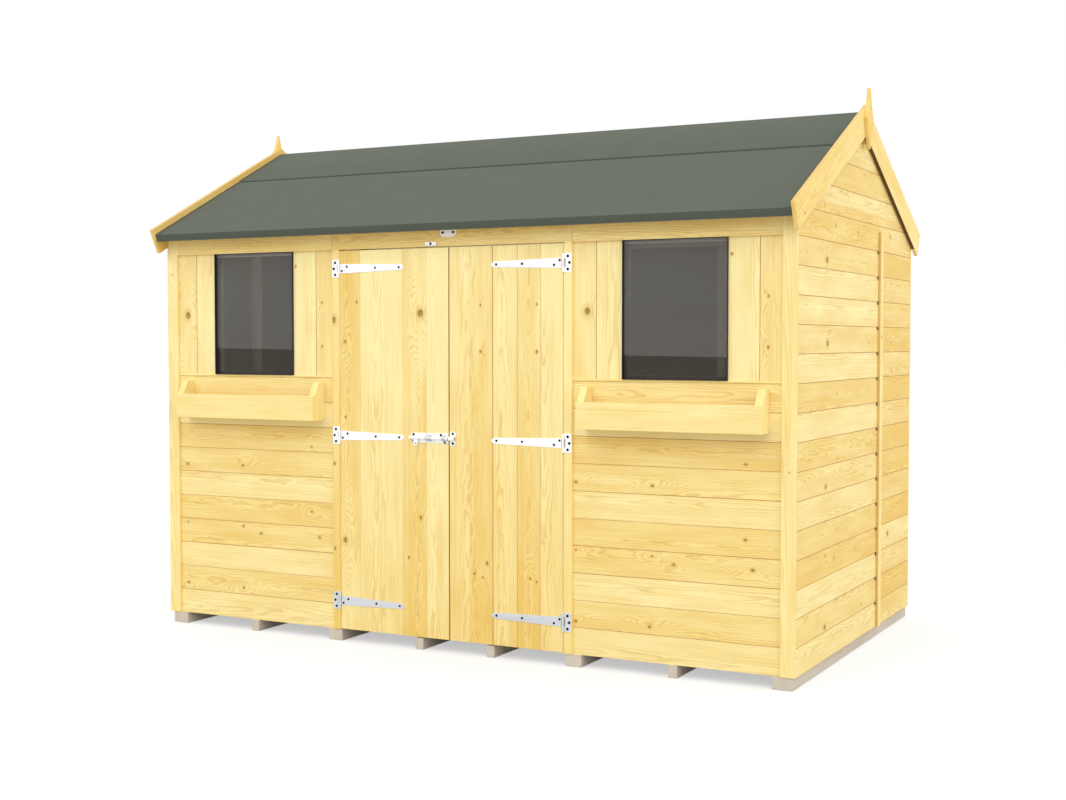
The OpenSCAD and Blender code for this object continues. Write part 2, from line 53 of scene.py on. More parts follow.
WHITE = (1, 1, 1, 1)

# Pitch of the roof, and usual width of a board
PITCH = math.radians(26.4)
BOARD = 0.1095

# Camera of the photograph
CAMERA_PLACE = (3.1754, -6.1380, 1.302)
CAMERA_DOWN = math.radians(2.271)
CAMERA_LEFT = math.radians(27.741)
CAMERA_LENS = 50
CAMERA_SENSOR = 36

# Joinery: half a groove, a board's arris, the notches at the end walls' joints with painted shade in them, and a
# strip's lap over a joint
GROOVE, GROOVE_DEEP = 0.0010, 0.0007
ARRIS = 0.0007
NOTCH_LONG, NOTCH_SHORT, NOTCH_HIGH, NOTCH_DEEP, NOTCH_SHADE = 0.018, 0.008, 0.013, 0.010, 1.8
STRIP_LAP = 0.021

# Stain of a sawn inner face and of a groove, and the most there is, a near-black painted shade
SAWN, STAIN, DEEPEST_SHADE = -1, 1, 2

# Stain of a barge board's top, and painted shade on its inner face and underside, where the wall behind shades it;
# the shade eases from the outside to the inside. The right boards fade by so much for each metre along them.
BARGE_TOP, BARGE_INSIDE_SHADE, BARGE_UNDER_SHADE, BARGE_SHADE_EASE = 0.46, 0.22, 2.0, 0.4
BARGE_OUTSIDE, BARGE_THICK = 1.5178, 0.0155
BARGE_FADE = 0.30

# Painted shade on the side of a joint strip that faces the front
STRIP_SIDE_SHADE = 0.45

# Least part of a normal along an axis for a face to face that way, and most part for it to lie along it
FACING, SQUARE = 0.6, 0.1

# Rounding of edges, distance at which vertices are one, and angles between faces that are one, sharp or smooth
TIMBER_ROUND, METAL_ROUND = 0.0016, 0.0004
WELD = 0.00002
FLAT, SHARP, SMOOTH = math.radians(1), math.radians(20), math.radians(25)

# Where the felt turns down at the eaves, and over what height the fold's painted tint eases in
FOLD_TOP, FOLD_EASE = 1.7866, 0.004

# Height of the panes' painted shade at their foot, for the dimmer lower part of the inside, in the middle of the
# shed, and its fall to the right
PANE_SHADE_FOOT, PANE_SHADE_FALL, PANE_SHADE_EASE = 1.2562, 0.0120, 0.002

# Middle of a pane's clear part from the middle of the shed, its half width and top, and how much painted light the
# rims get where the framing behind them lies in shade
PANE_MIDDLE, PANE_HALF, PANE_TOP = 1.010, 0.202, 1.6795
LIT_RIM_SIDE, LIT_RIM_TOP, LIT_RIM_EASE = 0.14, 0.65, 0.001
PANE_ALPHA = 0.61

# Roof: height of its underside at the wall, thickness of boards and lower felt, beads of bitumen that also paint
# the shade line along the laps and edges
EAVE_UNDER, EAVE_Y = 1.814, 0.855
ROOF_LAYERS = 0.0148
FELT_THICK = 0.0025
LAP_BEAD, EDGE_BEAD, LAP_BEAD_HIGH, DRIP_HIGH = 0.012, 0.004, 0.0015, 0.0030

# Glazing seals
WINDOW_LEFT, WINDOW_RIGHT = (-1.227, -0.793), (0.793, 1.227)
SEAL_WIDE, SEAL_THICK, SEAL_PLAY, SEAL_ROUND = 0.0010, 0.0180, 0.0003, 0.0003

# Heights between which the zinc gets greyer downwards
METAL_FOOT = (0.35, 0.65)

# Hinges: screws are (from the pin along the strap, up)
KNUCKLE, HINGE_THICK, HINGE_HIGH = 0.0045, 0.002, 0.076
SLOT_OFF, SLOT_HALF, SLOT_ROUND, SLOT_HIGH = -0.0075, 0.0150, 0.0013, 0.0002
# Painted shade lines where the plates and straps meet the knuckles: their rounding, and (from the pin, up, half
# length)
SHADE_LINE_ROUND, PLATE_SHADE_LINE, STRAP_SHADE_LINE = 0.0007, (-0.0012, 0.0293, 0.0075), (0.0070, 0, 0.0175)
PLATE_SCREWS = ((-0.0195, 0.026), (-0.0265, 0), (-0.0195, -0.026))
STRAP_SCREWS = ((0.0165, -0.010), (0.0415, 0.008), (0.1865, 0), (0.3055, 0))

# Bolt: screws and rivets are (along, up from the bar)
BOLT_PLATE_THICK, BOLT_CORNER, CORNER_STEPS = 0.0015, 0.006, 5
BOLT_STAPLES = ((-0.1024, -0.0732), (-0.0192, -0.0042))
BOLT_LIFT, BOLT_OUTER, BOLT_INNER, BOLT_FOOT, STAPLE_THICK = 0.007, 0.0085, 0.0065, 0.0150, 0.0012
BOLT_SCREWS = ((-0.1637, 0.0135), (-0.1637, -0.0135), (-0.0295, 0.0135), (-0.0106, -0.0165))
BOLT_RIVETS = ((-0.0616, 0.0145), (-0.0616, -0.0145))
KEEPER_OUTER, KEEPER_SCREW_X, KEEPER_SCREW_Z = 0.0085, 0.028, 0.0205

# Plate and button over the doors
HEAD_SCREWS, HEAD_SCREW_Z = (-0.018, 0.032), 1.752

# Screw and rivet heads: radius and height, and the rest in shares of those
SCREW, SCREW_HIGH, SCREW_CROSS = 0.0057, 0.0012, 0.2
STRAP_SCREW = 0.0051
RIVET, RIVET_HIGH = 0.0028, 0.0009
HEAD_RINGS = (0.97, 0.85, 0.62, 0.55, 0.42, 0.28, 0.14)
HEAD_DOME, HEAD_RECESS, HEAD_CUT = 0.45, 0.6, 0.5

# A knot that is too far away to show, the share of a stained knot that is its dark core, unless it is a big one,
# and the radii up to which a core is orange and from which it is brown
NO_KNOT = (9.0, 9.0, 0.01)
KNOT_SHARE, BIG_KNOT = 0.85, 0.009
KNOT_ORANGE, KNOT_BROWN = 0.004, 0.006

# Knots left to chance: how many for each metre of a board, least distance from its ends, places across it, radii
BOARD_KNOTS, KNOT_END, KNOT_ACROSS, KNOT_RADII = 1.1, 0.02, (0.12, 0.88), (0.002, 0.0045)

# A board's place in its tree: shift along, pith aside of its middle and below it, and slant to it
TREE_SHIFT, PITH_ASIDE, PITH_BELOW, PITH_SLANT = 60, 0.07, (0.02, 0.09), 0.022

# Tones at the back and in the floor and roof, their spread among like timbers, and the framing's tone and knots
BACK_TONES, DECK_TONES, TONE_SPREAD = (0.15, 0.75), (0.2, 0.8), 0.12
FRAMING_TONE, FRAMING_KNOTS = 0.5, 1.0


# Wood

class Woodwork:
    """Boards and timbers of one piece.

    Each corner keeps its place in the tree it was sawn from, its place from the nearest knot, and its tone, its
    staining and painted shade, and its board's own number, for the wood materials.
    """

    def __init__(self, name):
        self.name = name
        self.random = random.Random(name)
        self.mesh = bmesh.new()
        self.layers()

    def layers(self):
        vectors = self.mesh.loops.layers.float_vector
        self.grain, self.knot, self.info = (vectors.new(name) for name in ("grain", "knot", "info"))

    def tree(self, width):
        """Where a board lay in its tree: shift along it, pith across and below, slant to it, and a number."""
        draw = self.random.uniform
        return (draw(0, TREE_SHIFT), width / 2 + draw(-PITH_ASIDE, PITH_ASIDE), draw(*PITH_BELOW),
                draw(-PITH_SLANT, PITH_SLANT), draw(0, 1))

    def mark(self, face, corners, tree, tone, knot, fade=0):
        shift, pith, below, slant, number = tree
        for loop, (u, v, d, stain_and_shade) in zip(face.loops, corners):
            loop[self.grain] = (shift + u, v - pith, below + slant * u - d)
            loop[self.knot] = (u - knot[0], v - knot[1], knot[2])
            loop[self.info] = (tone - fade * u, stain_and_shade, number)

    def scatter(self, length, width, per_metre=BOARD_KNOTS):
        """Knots at random places on a board."""
        draw = self.random.uniform
        count = int(length * per_metre + draw(0, 1))
        return sorted((draw(KNOT_END, length - KNOT_END), draw(*KNOT_ACROSS) * width, draw(*KNOT_RADII))
                      for _ in range(count))

    def board(self, corner, along, across, outward, span, section, tree, tone, knots=(), fade=0):
        """A board drawn out over a span from a section of (across, outward, stain_and_shade) points."""
        knots = sorted(knots) or [NO_KNOT]
        cuts = [span[0]] + [(a[0] + b[0]) / 2 for a, b in zip(knots, knots[1:])] + [span[1]]
        rings = [[self.mesh.verts.new(corner + along * u + across * v + outward * d) for v, d, _ in section]
                 for u in cuts]
        count = len(section)
        for i, knot in enumerate(knots):
            for j in range(count):
                k = (j + 1) % count
                face = self.mesh.faces.new((rings[i][j], rings[i][k], rings[i + 1][k], rings[i + 1][j]))
                spots = [(cuts[i], section[j]), (cuts[i], section[k]), (cuts[i + 1], section[k]),
                         (cuts[i + 1], section[j])]
                self.mark(face, [(u, *p) for u, p in spots], tree, tone, knot, fade)
        for ring, u, knot in ((rings[0], span[0], knots[0]), (rings[-1], span[1], knots[-1])):
            face = self.mesh.faces.new(ring)
            self.mark(face, [(u, *p) for p in section], tree, tone, knot, fade)

    def panel(self, corner, along, across, outward, length, widths, depth, tones, knots=None, grooves=None,
              notch=0, fades=None, rims=(0, 0)):
        """Boards side by side, with knots given as (point, radius) or left to chance.

        Over the length of the notch, each board's upper edge is cut back at its far end, with painted shade on the
        cut.
        The fades are how much paler each board gets for each metre along it. The rims are grooves at the panel's
        own edges.
        """
        grooves = [rims[0], *(grooves or [GROOVE] * (len(widths) - 1)), rims[1]]
        place = 0
        for i, width in enumerate(widths):
            own = self.scatter(length, width) if knots is None else []
            for point, radius in knots or ():
                u, v = (point - corner).dot(along), (point - corner).dot(across) - place
                if 0 <= u <= length and 0 <= v < width:
                    own.append((u, v, radius))
            tree = self.tree(width)
            ends = [(0, length, 0)]
            if notch and i < len(widths) - 1:
                ends = [(0, length - notch, 0), (length - notch, length, NOTCH_HIGH)]
            for start, end, cut in ends:
                section = board_section(width, depth, grooves[i], grooves[i + 1], cut)
                self.board(corner + across * place, along, across, outward, (start, end), section, tree,
                           tones[i], [k for k in own if start <= k[0] < end], fades[i] if fades else 0)
            place += width

    def solids(self, node, tone, per_metre, stain_and_shade=None, fade=0, extra=()):
        """The timbers of a CAD node, with rounded edges and their grain along the longest edge.

        The stain_and_shade value is worked out from a face's normal, its middle and a corner. A tone or a fade may
        be a pair, for the left and the right side. Extra knots are given as (point, radius).
        """
        self.mesh.free()
        self.mesh = cad_mesh(node)
        round_edges(self.mesh, TIMBER_ROUND)
        self.layers()
        for island in islands(self.mesh):
            edges = sorted({e for v in island for e in v.link_edges}, key=lambda e: e.index)
            faces = sorted({f for v in island for f in v.link_faces}, key=lambda f: f.index)
            longest = max(edges, key=lambda e: round(e.calc_length(), 5))
            along = (longest.verts[1].co - longest.verts[0].co).normalized()
            along *= 1 if along.dot(Vector((1, 1, 1))) > 0 else -1
            widest = max((f for f in faces if abs(f.normal.dot(along)) < SQUARE),
                         key=lambda f: round(f.calc_area(), 6))
            outward = widest.normal.copy()
            across = outward.cross(along)
            start = Vector([min(v.co.dot(a) for v in island) for a in (along, across, outward)])
            length, width = (max(v.co.dot(a) for v in island) - s for a, s in zip((along, across), start))
            knots = self.scatter(length, width, per_metre)
            for point, radius in extra:
                u, v = (point.dot(a) - s for a, s in zip((along, across), start))
                if 0 <= u <= length and 0 <= v <= width:
                    knots.append((u, v, radius))
            knots = sorted(knots) or [NO_KNOT]
            cuts = [(a[0] + b[0]) / 2 for a, b in zip(knots, knots[1:])]
            for cut in cuts:
                self.cut(island[0], along * (start[0] + cut), along)
            for y in (-EAVE_Y, EAVE_Y) if stain_and_shade == barge_stain_and_shade else ():
                self.cut(island[0], Y * y, Y)
            tree = self.tree(width)
            own_tone, own_fade = (sided(value, island[0].co.x) for value in (tone, fade))
            own_tone += self.random.uniform(-TONE_SPREAD, TONE_SPREAD)
            for face in island_faces(island[0]):
                centre = face.calc_center_median()
                knot = knots[sum(1 for c in cuts if c < centre.dot(along) - start[0])]
                corners = [(*(c.vert.co.dot(a) - s for a, s in zip((along, across, outward), start)),
                            stain_and_shade(face.normal, centre, c.vert.co) if stain_and_shade else 0) for c in face.loops]
                self.mark(face, corners, tree, own_tone, knot, own_fade)

    def cut(self, vert, point, normal):
        """Splits the faces of a vertex's island where they cross a plane."""
        whole = island_faces(vert)
        geometry = list(dict.fromkeys(p for f in whole for p in (*f.verts, *f.edges))) + whole
        bmesh.ops.bisect_plane(self.mesh, geom=geometry, plane_co=point, plane_no=normal)

    def trim(self, point, normal):
        """Cuts away what lies beyond a plane and closes the cut."""
        geometry = [*self.mesh.verts, *self.mesh.edges, *self.mesh.faces]
        cut = bmesh.ops.bisect_plane(self.mesh, geom=geometry, plane_co=point, plane_no=normal, clear_outer=True)
        rim = [e for e in cut["geom_cut"] if isinstance(e, bmesh.types.BMEdge)]
        bmesh.ops.holes_fill(self.mesh, edges=rim)

    def done(self, body, slot, material, *nodes):
        return piece(self.name, self.mesh, body, slot, material, *nodes)


def sided(value, x):
    """The value itself, or the one of a left and right pair that belongs at x."""
    return value[x > 0] if isinstance(value, tuple) else value


def board_section(width, depth, near, far, cut=0):
    """Section of a board with its half of the groove at each edge that meets another board.

    A cut takes that much off the far edge, from the face down to the notch's depth.
    """
    def edge(place, inward, groove, low, stain_and_shade):
        if not groove:
            return [(place, 0, SAWN), (place, depth - ARRIS, 0), (place + inward * ARRIS, depth, 0)]
        lip, arris = place + inward * groove, min(groove, ARRIS)
        return [(place + inward * ARRIS, 0, SAWN), (place, ARRIS, 0), (place, depth - low, stain_and_shade),
                (lip, depth - low, stain_and_shade), (lip, depth - arris, stain_and_shade), (lip + inward * arris, depth, 0)]
    # A notch's cut faces take painted shade, a groove's faces a stain.
    last = edge(width, -1, cut, NOTCH_DEEP, NOTCH_SHADE) if cut else edge(width, -1, far, GROOVE_DEEP, STAIN)
    return edge(0, 1, near, GROOVE_DEEP, STAIN) + last[::-1]


# Meshes

def cad_mesh(node):
    """A welded copy of a CAD node's mesh, with its flat faces whole."""
    mesh = bmesh.new()
    mesh.from_mesh(frame["nodes"][node].data)
    bmesh.ops.remove_doubles(mesh, verts=mesh.verts, dist=WELD)
    bmesh.ops.dissolve_limit(mesh, angle_limit=FLAT, verts=mesh.verts, edges=mesh.edges)
    return mesh


def round_edges(mesh, size, steps=2):
    sharp = [e for e in mesh.edges if e.is_manifold and e.calc_face_angle(0) > SHARP]
    bmesh.ops.bevel(mesh, geom=sharp, offset=size, offset_type="OFFSET", segments=steps, profile=0.5,
                    affect="EDGES", clamp_overlap=True)
    mesh.normal_update()
    for items in (mesh.verts, mesh.edges, mesh.faces):
        items.ensure_lookup_table()
        items.index_update()


def island_verts(vert):
    """The vertices that hang together with one."""
    seen, stack, group = {vert}, [vert], []
    while stack:
        group.append(stack.pop())
        for edge in group[-1].link_edges:
            other = edge.other_vert(group[-1])
            if other not in seen:
                seen.add(other)
                stack.append(other)
    return group


def island_faces(vert):
    """The faces that hang together with a vertex."""
    return list(dict.fromkeys(f for v in island_verts(vert) for f in v.link_faces))


def islands(mesh):
    """Lists of vertices that hang together."""
    seen, groups = set(), []
    for vert in mesh.verts:
        if vert not in seen:
            groups.append(island_verts(vert))
            seen.update(groups[-1])
    return groups


def added(name, data):
    """A new object in the scene."""
    made = bpy.data.objects.new(name, data)
    bpy.context.scene.collection.objects.link(made)
    return made


def piece(name, mesh, body, slot, material, *nodes, smooth=False):
    """A finished piece that rides on a body and stands for the named CAD nodes."""
    bmesh.ops.recalc_face_normals(mesh, faces=mesh.faces)
    data = bpy.data.meshes.new(name)
    mesh.to_mesh(data)
    mesh.free()
    data.materials.append(material)
    if smooth:
        data.shade_smooth()
        data.set_sharp_from_angle(angle=SMOOTH)
    made = added(name, data)
    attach(made, body)
    if nodes:
        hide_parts(*nodes)
    return made


# Materials

def tint(red, green, blue):
    """Linear colour of a tint as a screen shows it."""
    shares = [c / 255 for c in (red, green, blue)]
    return (*(c / 12.92 if c < 0.04045 else ((c + 0.055) / 1.055) ** 2.4 for c in shares), 1)


class Graph:
    """The nodes of a new material or world, written as expressions."""

    def __init__(self, name, kind=bpy.data.materials, shader="Principled BSDF"):
        self.owner = kind.new(name)
        self.owner.use_nodes = True
        self.tree = self.owner.node_tree
        self.shader = self.tree.nodes[shader]

    def feed(self, socket, value):
        if isinstance(value, bpy.types.NodeSocket):
            self.tree.links.new(value, socket)
        else:
            socket.default_value = value

    def add(self, kind, inputs, **settings):
        node = self.tree.nodes.new(kind)
        for key, value in settings.items():
            setattr(node, key, value)
        for key, value in inputs.items():
            self.feed(node.inputs[key], value)
        return node

    def math(self, operation, *values):
        return self.add("ShaderNodeMath", dict(enumerate(values)), operation=operation).outputs[0]

    def stretch(self, vector, *scale):
        return self.add("ShaderNodeVectorMath", {0: vector, 1: scale}, operation="MULTIPLY").outputs[0]

    def split(self, vector):
        return self.add("ShaderNodeSeparateXYZ", {0: vector}).outputs

    def attribute(self, name):
        return self.add("ShaderNodeAttribute", {}, attribute_name=name).outputs["Vector"]

    def place(self):
        return self.add("ShaderNodeTexCoord", {}).outputs["Object"]

    def noise(self, vector, scale=1.0, detail=2.0, rough=0.5):
        """Noise about zero, from minus a half to a half."""
        inputs = {"Vector": vector, "Scale": scale, "Detail": detail, "Roughness": rough}
        node = self.add("ShaderNodeTexNoise", inputs)
        return self.math("SUBTRACT", node.outputs["Fac"], 0.5)

    def ramp(self, value, low, high, start=0.0, end=1.0, kind="SMOOTHSTEP"):
        inputs = {"Value": value, "From Min": low, "From Max": high, "To Min": start, "To Max": end}
        return self.add("ShaderNodeMapRange", inputs, interpolation_type=kind).outputs["Result"]

    def total(self, first, *parts):
        """A value plus parts given as (value, share)."""
        for value, share in parts:
            first = self.math("MULTIPLY_ADD", value, share, first)
        return first

    def far(self, first, second):
        """Length of the two sides' diagonal."""
        return self.math("SQRT", self.math("MULTIPLY_ADD", first, first, self.math("POWER", second, 2)))

    def mix(self, factor, first, second):
        return self.add("ShaderNodeMix", {0: factor, 6: first, 7: second}, data_type="RGBA").outputs[2]

    def bump(self, height, strength, distance):
        inputs = {"Height": height, "Strength": strength, "Distance": distance}
        self.feed(self.shader.inputs["Normal"], self.add("ShaderNodeBump", inputs).outputs["Normal"])

    def set(self, **inputs):
        for key, value in inputs.items():
            self.feed(self.shader.inputs[key.replace("_", " ")], value)
        return self.owner

    def seen(self):
        """1 for rays whose hit is seen directly, in gloss or through glass."""
        path = self.add("ShaderNodeLightPath", {}).outputs
        share = path["Is Camera Ray"]
        for other in ("Is Glossy Ray", "Is Transmission Ray"):
            share = self.math("MAXIMUM", share, path[other])
        return share

    def whiten(self, share, kind, output):
        """Mixes a share of plain white light into the output."""
        white = self.add(kind, {"Color": WHITE, "Strength": 1.0}).outputs[0]
        mixed = self.add("ShaderNodeMixShader", {0: share, 1: self.shader.outputs[0], 2: white}).outputs[0]
        self.feed(self.tree.nodes[output].inputs["Surface"], mixed)


def wood(name, pale, deep, ring, rough, figure=1.0, wild=1.0, ring_width=0.0047):
    """Sawn softwood: growth rings round the pith that part round knots, curls, streaks, and clouds of tone that
    also paint a shifting sheen into the colour.
    """
    g = Graph(name)
    grain = g.attribute("grain")
    _, across, inward = g.split(grain)
    knot_along, knot_across, knot_size = g.split(g.attribute("knot"))
    tone, stain_and_shade, _ = g.split(g.attribute("info"))
    sway = g.noise(g.stretch(grain, 1.5, 8, 8), detail=2)
    curl = g.noise(g.stretch(grain, 8, 30, 30), detail=2)
    # Clouds of tone, which also paint the shifting sheen of the wood into its colour
    cloud = g.noise(g.stretch(grain, 3.5, 19, 19), detail=2)
    streak = g.noise(g.stretch(grain, 0.7, 130, 130), detail=3, rough=0.6)
    fibre = g.noise(g.stretch(grain, 16, 600, 600), detail=2)

    def reach(along_share, aside=0.0):
        """Distance from the knot's middle, or from a place aside of it, in knot radii."""
        along = g.total(g.math("MULTIPLY", knot_along, along_share), (knot_size, aside))
        return g.math("DIVIDE", g.far(along, knot_across), knot_size)

    bulge = g.math("EXPONENT", g.math("MULTIPLY", g.math("POWER", g.math("MULTIPLY", reach(0.28), 0.2), 2), -1))
    near = g.total(reach(0.75), (curl, 0.8))
    heart = g.ramp(g.total(reach(0.75, 0.35), (curl, 0.6)), 0.8, 0.35)

    radius = g.total(g.far(across, inward), (sway, 0.024 * wild),
                     (curl, g.total(0.003 * wild, (tone, 0.020 * wild))),
                     (bulge, g.math("MULTIPLY", knot_size, 1.5 + 3 * wild)))
    year = g.math("FRACT", g.math("DIVIDE", radius, ring_width))
    late = g.math("MULTIPLY", g.ramp(year, 0.35, 0.9), g.ramp(year, 1.0, 0.9))

    shade = g.total(tone, (cloud, 0.90), (streak, 0.80), (late, -0.10))
    colour = g.mix(g.ramp(shade, 0.0, 1.0, kind="LINEAR"), pale, deep)
    strength = g.total(0.24 * figure, (tone, 0.36 * figure), (cloud, 0.60 * figure))
    ring_share = g.total(g.math("MULTIPLY", late, strength), (g.math("MAXIMUM", fibre, 0.0), 0.35))
    colour = g.mix(g.math("MAXIMUM", ring_share, 0.0), colour, ring)
    small = g.ramp(knot_size, KNOT_BROWN, KNOT_ORANGE)
    colour = g.mix(g.ramp(near, 2.8, 1.0, 0.0, 0.4), colour, g.mix(small, ring, tint(206, 134, 40)))
    dark = g.mix(small, tint(150, 117, 46), tint(166, 102, 12))
    core = g.mix(g.math("MULTIPLY", heart, 0.4), dark, tint(208, 164, 82))
    colour = g.mix(g.ramp(near, 1.15, 0.8, 0.0, 0.92), colour, core)
    colour = g.mix(g.ramp(stain_and_shade, 0.0, SAWN, 0.0, 0.75, "LINEAR"), colour, tint(160, 149, 130))
    # Grooves and barge boards' tops take a brown stain; the same brown at lower levels is painted shade on barge
    # boards' inner faces and on joint strips' sides.
    colour = g.mix(g.ramp(stain_and_shade, 0.0, STAIN, 0.0, 0.9, "LINEAR"), colour, tint(172, 106, 32))
    # Above a groove's stain, painted shade in the notches and under the barge boards deepens to near black.
    colour = g.mix(g.ramp(stain_and_shade, STAIN, DEEPEST_SHADE, 0.0, 0.95, "LINEAR"), colour, tint(20, 13, 6))

    relief = g.math("SUBTRACT", g.math("MULTIPLY", fibre, 0.6), g.math("MULTIPLY", late, 0.25))
    g.bump(relief, 0.25, 0.0008)
    return g.set(Base_Color=colour, Roughness=g.total(rough, (fibre, 0.25)), Specular_IOR_Level=0.3)


def felt_material():
    """Mineral roofing felt: fine granules over a faintly mottled ground, and a tint of its own where it is folded
    down, painted for the light and shade on that face.
    """
    g = Graph("roof_felt")
    place = g.place()
    grit = g.noise(place, 1400, detail=2, rough=0.7)
    mottle = g.noise(place, 7, detail=3)
    shade = g.total(g.math("MULTIPLY", grit, 0.9), (mottle, 0.18))
    colour = g.mix(g.ramp(shade, -0.5, 0.5), tint(76, 81, 71), tint(100, 105, 94))
    _, _, height = g.split(place)
    # Painted light and shade: the folded-down edge gets a tint of its own
    colour = g.mix(g.ramp(height, FOLD_TOP, FOLD_TOP - FOLD_EASE, 0.0, 0.8), colour, tint(92, 99, 87))
    g.bump(grit, 0.35, 0.001)
    return g.set(Base_Color=colour, Roughness=g.total(0.9, (grit, 0.1)), Specular_IOR_Level=0.2)


def cloudy(name, dark, pale, metallic, rough, gloss=0.5, foot=None, scale=25, vary=0.1):
    """Steel, rubber or bitumen, with a faint cloudiness and, if named, a greyer foot."""
    g = Graph(name)
    place = g.place()
    cloud = g.noise(place, scale, detail=2)
    colour = g.mix(g.ramp(cloud, -0.4, 0.4), dark, pale)
    if foot:
        _, _, height = g.split(place)
        colour = g.mix(g.ramp(height, METAL_FOOT[1], METAL_FOOT[0]), colour, foot)
    return g.set(Base_Color=colour, Metallic=metallic, Roughness=g.total(rough, (cloud, vary)),
                 Specular_IOR_Level=gloss)


def pane_material():
    """Tinted clear sheet, with painted light on its rims and a painted shade at its foot for the dimmer lower part
    of the inside.
    """
    g = Graph("window_pane")
    place = g.place()
    side, _, height = g.split(place)
    film = g.noise(g.stretch(place, 2, 2, 0.6), detail=1)
    colour = g.mix(g.ramp(film, -0.4, 0.4), tint(86, 87, 89), tint(93, 94, 96))
    # Painted shade below a line that falls to the right, for the dimmer lower part of the inside
    edge = g.total(height, (side, PANE_SHADE_FALL))
    # Painted light on the rims, where the framing behind the pane lies in shade
    off = g.math("ABSOLUTE", g.math("SUBTRACT", g.math("ABSOLUTE", side), PANE_MIDDLE))
    rim = g.ramp(off, PANE_HALF - LIT_RIM_EASE, PANE_HALF + LIT_RIM_EASE, 0, LIT_RIM_SIDE)
    rim = g.math("MAXIMUM", rim, g.ramp(height, PANE_TOP - LIT_RIM_EASE, PANE_TOP + LIT_RIM_EASE, 0, LIT_RIM_TOP))
    colour = g.mix(rim, colour, tint(190, 188, 184))
    colour = g.mix(g.ramp(edge, PANE_SHADE_FOOT + PANE_SHADE_EASE, PANE_SHADE_FOOT - PANE_SHADE_EASE), colour, tint(32, 33, 41))
    return g.set(Base_Color=colour, Roughness=g.ramp(film, -0.4, 0.4, 0.06, 0.10), Alpha=PANE_ALPHA,
                 Specular_IOR_Level=0.2)


cladding = wood("cladding_pine", tint(255, 239, 174), tint(240, 203, 109), tint(212, 166, 74), 0.6)
trim = wood("trim_pine", tint(255, 237, 169), tint(242, 205, 109), tint(218, 174, 82), 0.6, 0.85, wild=0.25)
framing = wood("framing_pine", tint(252, 240, 212), tint(236, 214, 172), tint(208, 174, 124), 0.75)
bearer = wood("bearer_wood", tint(218, 208, 193), tint(196, 184, 167), tint(178, 162, 140), 0.8, 0.8, 1.0, 0.0065)
felt = felt_material()
zinc = cloudy("zinc_steel", tint(246, 247, 249), tint(253, 254, 255), 0.2, 0.4, foot=tint(210, 214, 220))
# A darker copy of the zinc, painted shade for the bolt's raised staples
shaded_zinc = cloudy("shaded_zinc", tint(190, 195, 200), tint(208, 212, 216), 0.3, 0.45)
black = cloudy("black_steel", tint(6, 6, 8), tint(14, 14, 16), 0.0, 0.7, 0.05)
slot_wood = cloudy("hinge_slot", tint(124, 82, 38), tint(146, 98, 48), 0.0, 0.7, 0.2)
brass = cloudy("brass_rivet", tint(222, 148, 64), tint(240, 172, 88), 0.5, 0.4)
rubber = cloudy("glazing_seal", tint(26, 26, 44), tint(38, 38, 58), 0.0, 0.55, 0.3, scale=80, vary=0.2)
# Dark bitumen for the beads at the felt's laps and edges, which also paint the shade line there
bitumen_and_shade = cloudy("lap_bitumen_and_shade", tint(36, 32, 28), tint(52, 47, 41), 0.0, 0.7, 0.3, scale=120, vary=0.2)
pane = pane_material()


# Walls. Tones run from 0, pale, to 1, deep, and fades are how much paler a board gets for each metre along it.
# Knots are (along, height, radius) on their wall.
FRONT_TONES = (0.30, 0.55, 0.27, 0.58, 0.65, 0.30, 0.55, 0.66, 0.08, 0.36)
FRONT_GROOVES = (0.0007, 0.0005, 0.0009, 0.0008, 0.0005, 0.0008, 0.0006, 0.0008, 0.0008)
FRONT_KNOTS_LEFT = ((-1.40, 0.738, 0.006), (-1.08, 0.743, 0.006), (-0.70, 0.840, 0.004), (-0.70, 0.554, 0.005),
                    (-1.40, 0.470, 0.004), (-1.08, 0.469, 0.005), (-0.98, 0.441, 0.006), (-0.66, 0.442, 0.006),
                    (-1.40, 0.189, 0.006), (-1.08, 0.190, 0.006))
FRONT_KNOTS_RIGHT = ((0.59, 0.742, 0.006), (0.92, 0.742, 0.006), (1.30, 0.840, 0.005), (1.30, 0.554, 0.005),
                     (0.59, 0.470, 0.004), (0.92, 0.467, 0.004), (1.01, 0.441, 0.006), (1.33, 0.442, 0.007),
                     (0.59, 0.185, 0.006), (0.91, 0.190, 0.006))
WINDOW_EDGES_LEFT = ((-1.488, -1.338, -1.227), (-0.793, -0.671, -0.577))
WINDOW_EDGES_RIGHT = ((0.577, 0.679, 0.793), (1.227, 1.3525, 1.488))
WINDOW_TONES = ((0.29, 0.14), (0.14, 0.44))
WINDOW_KNOTS = ((-1.39, 1.42, 0.013), (-0.78, 1.63, 0.004), (-0.64, 1.47, 0.004), (-0.64, 1.28, 0.004),
                (0.64, 1.42, 0.013), (1.241, 1.63, 0.005), (1.385, 1.47, 0.004), (1.385, 1.28, 0.005))
DOOR_EDGES_LEFT = (-0.4325, -0.3246, -0.219, -0.099)
DOOR_EDGES_RIGHT = (0.109, 0.2176, 0.331, 0.437)
DOOR_TONES_LEFT = (0.35, 0.54, 0.50, 0.85, 0.47)
DOOR_TONES_RIGHT = (0.68, 0.90, 0.60, 0.98, 0.56)
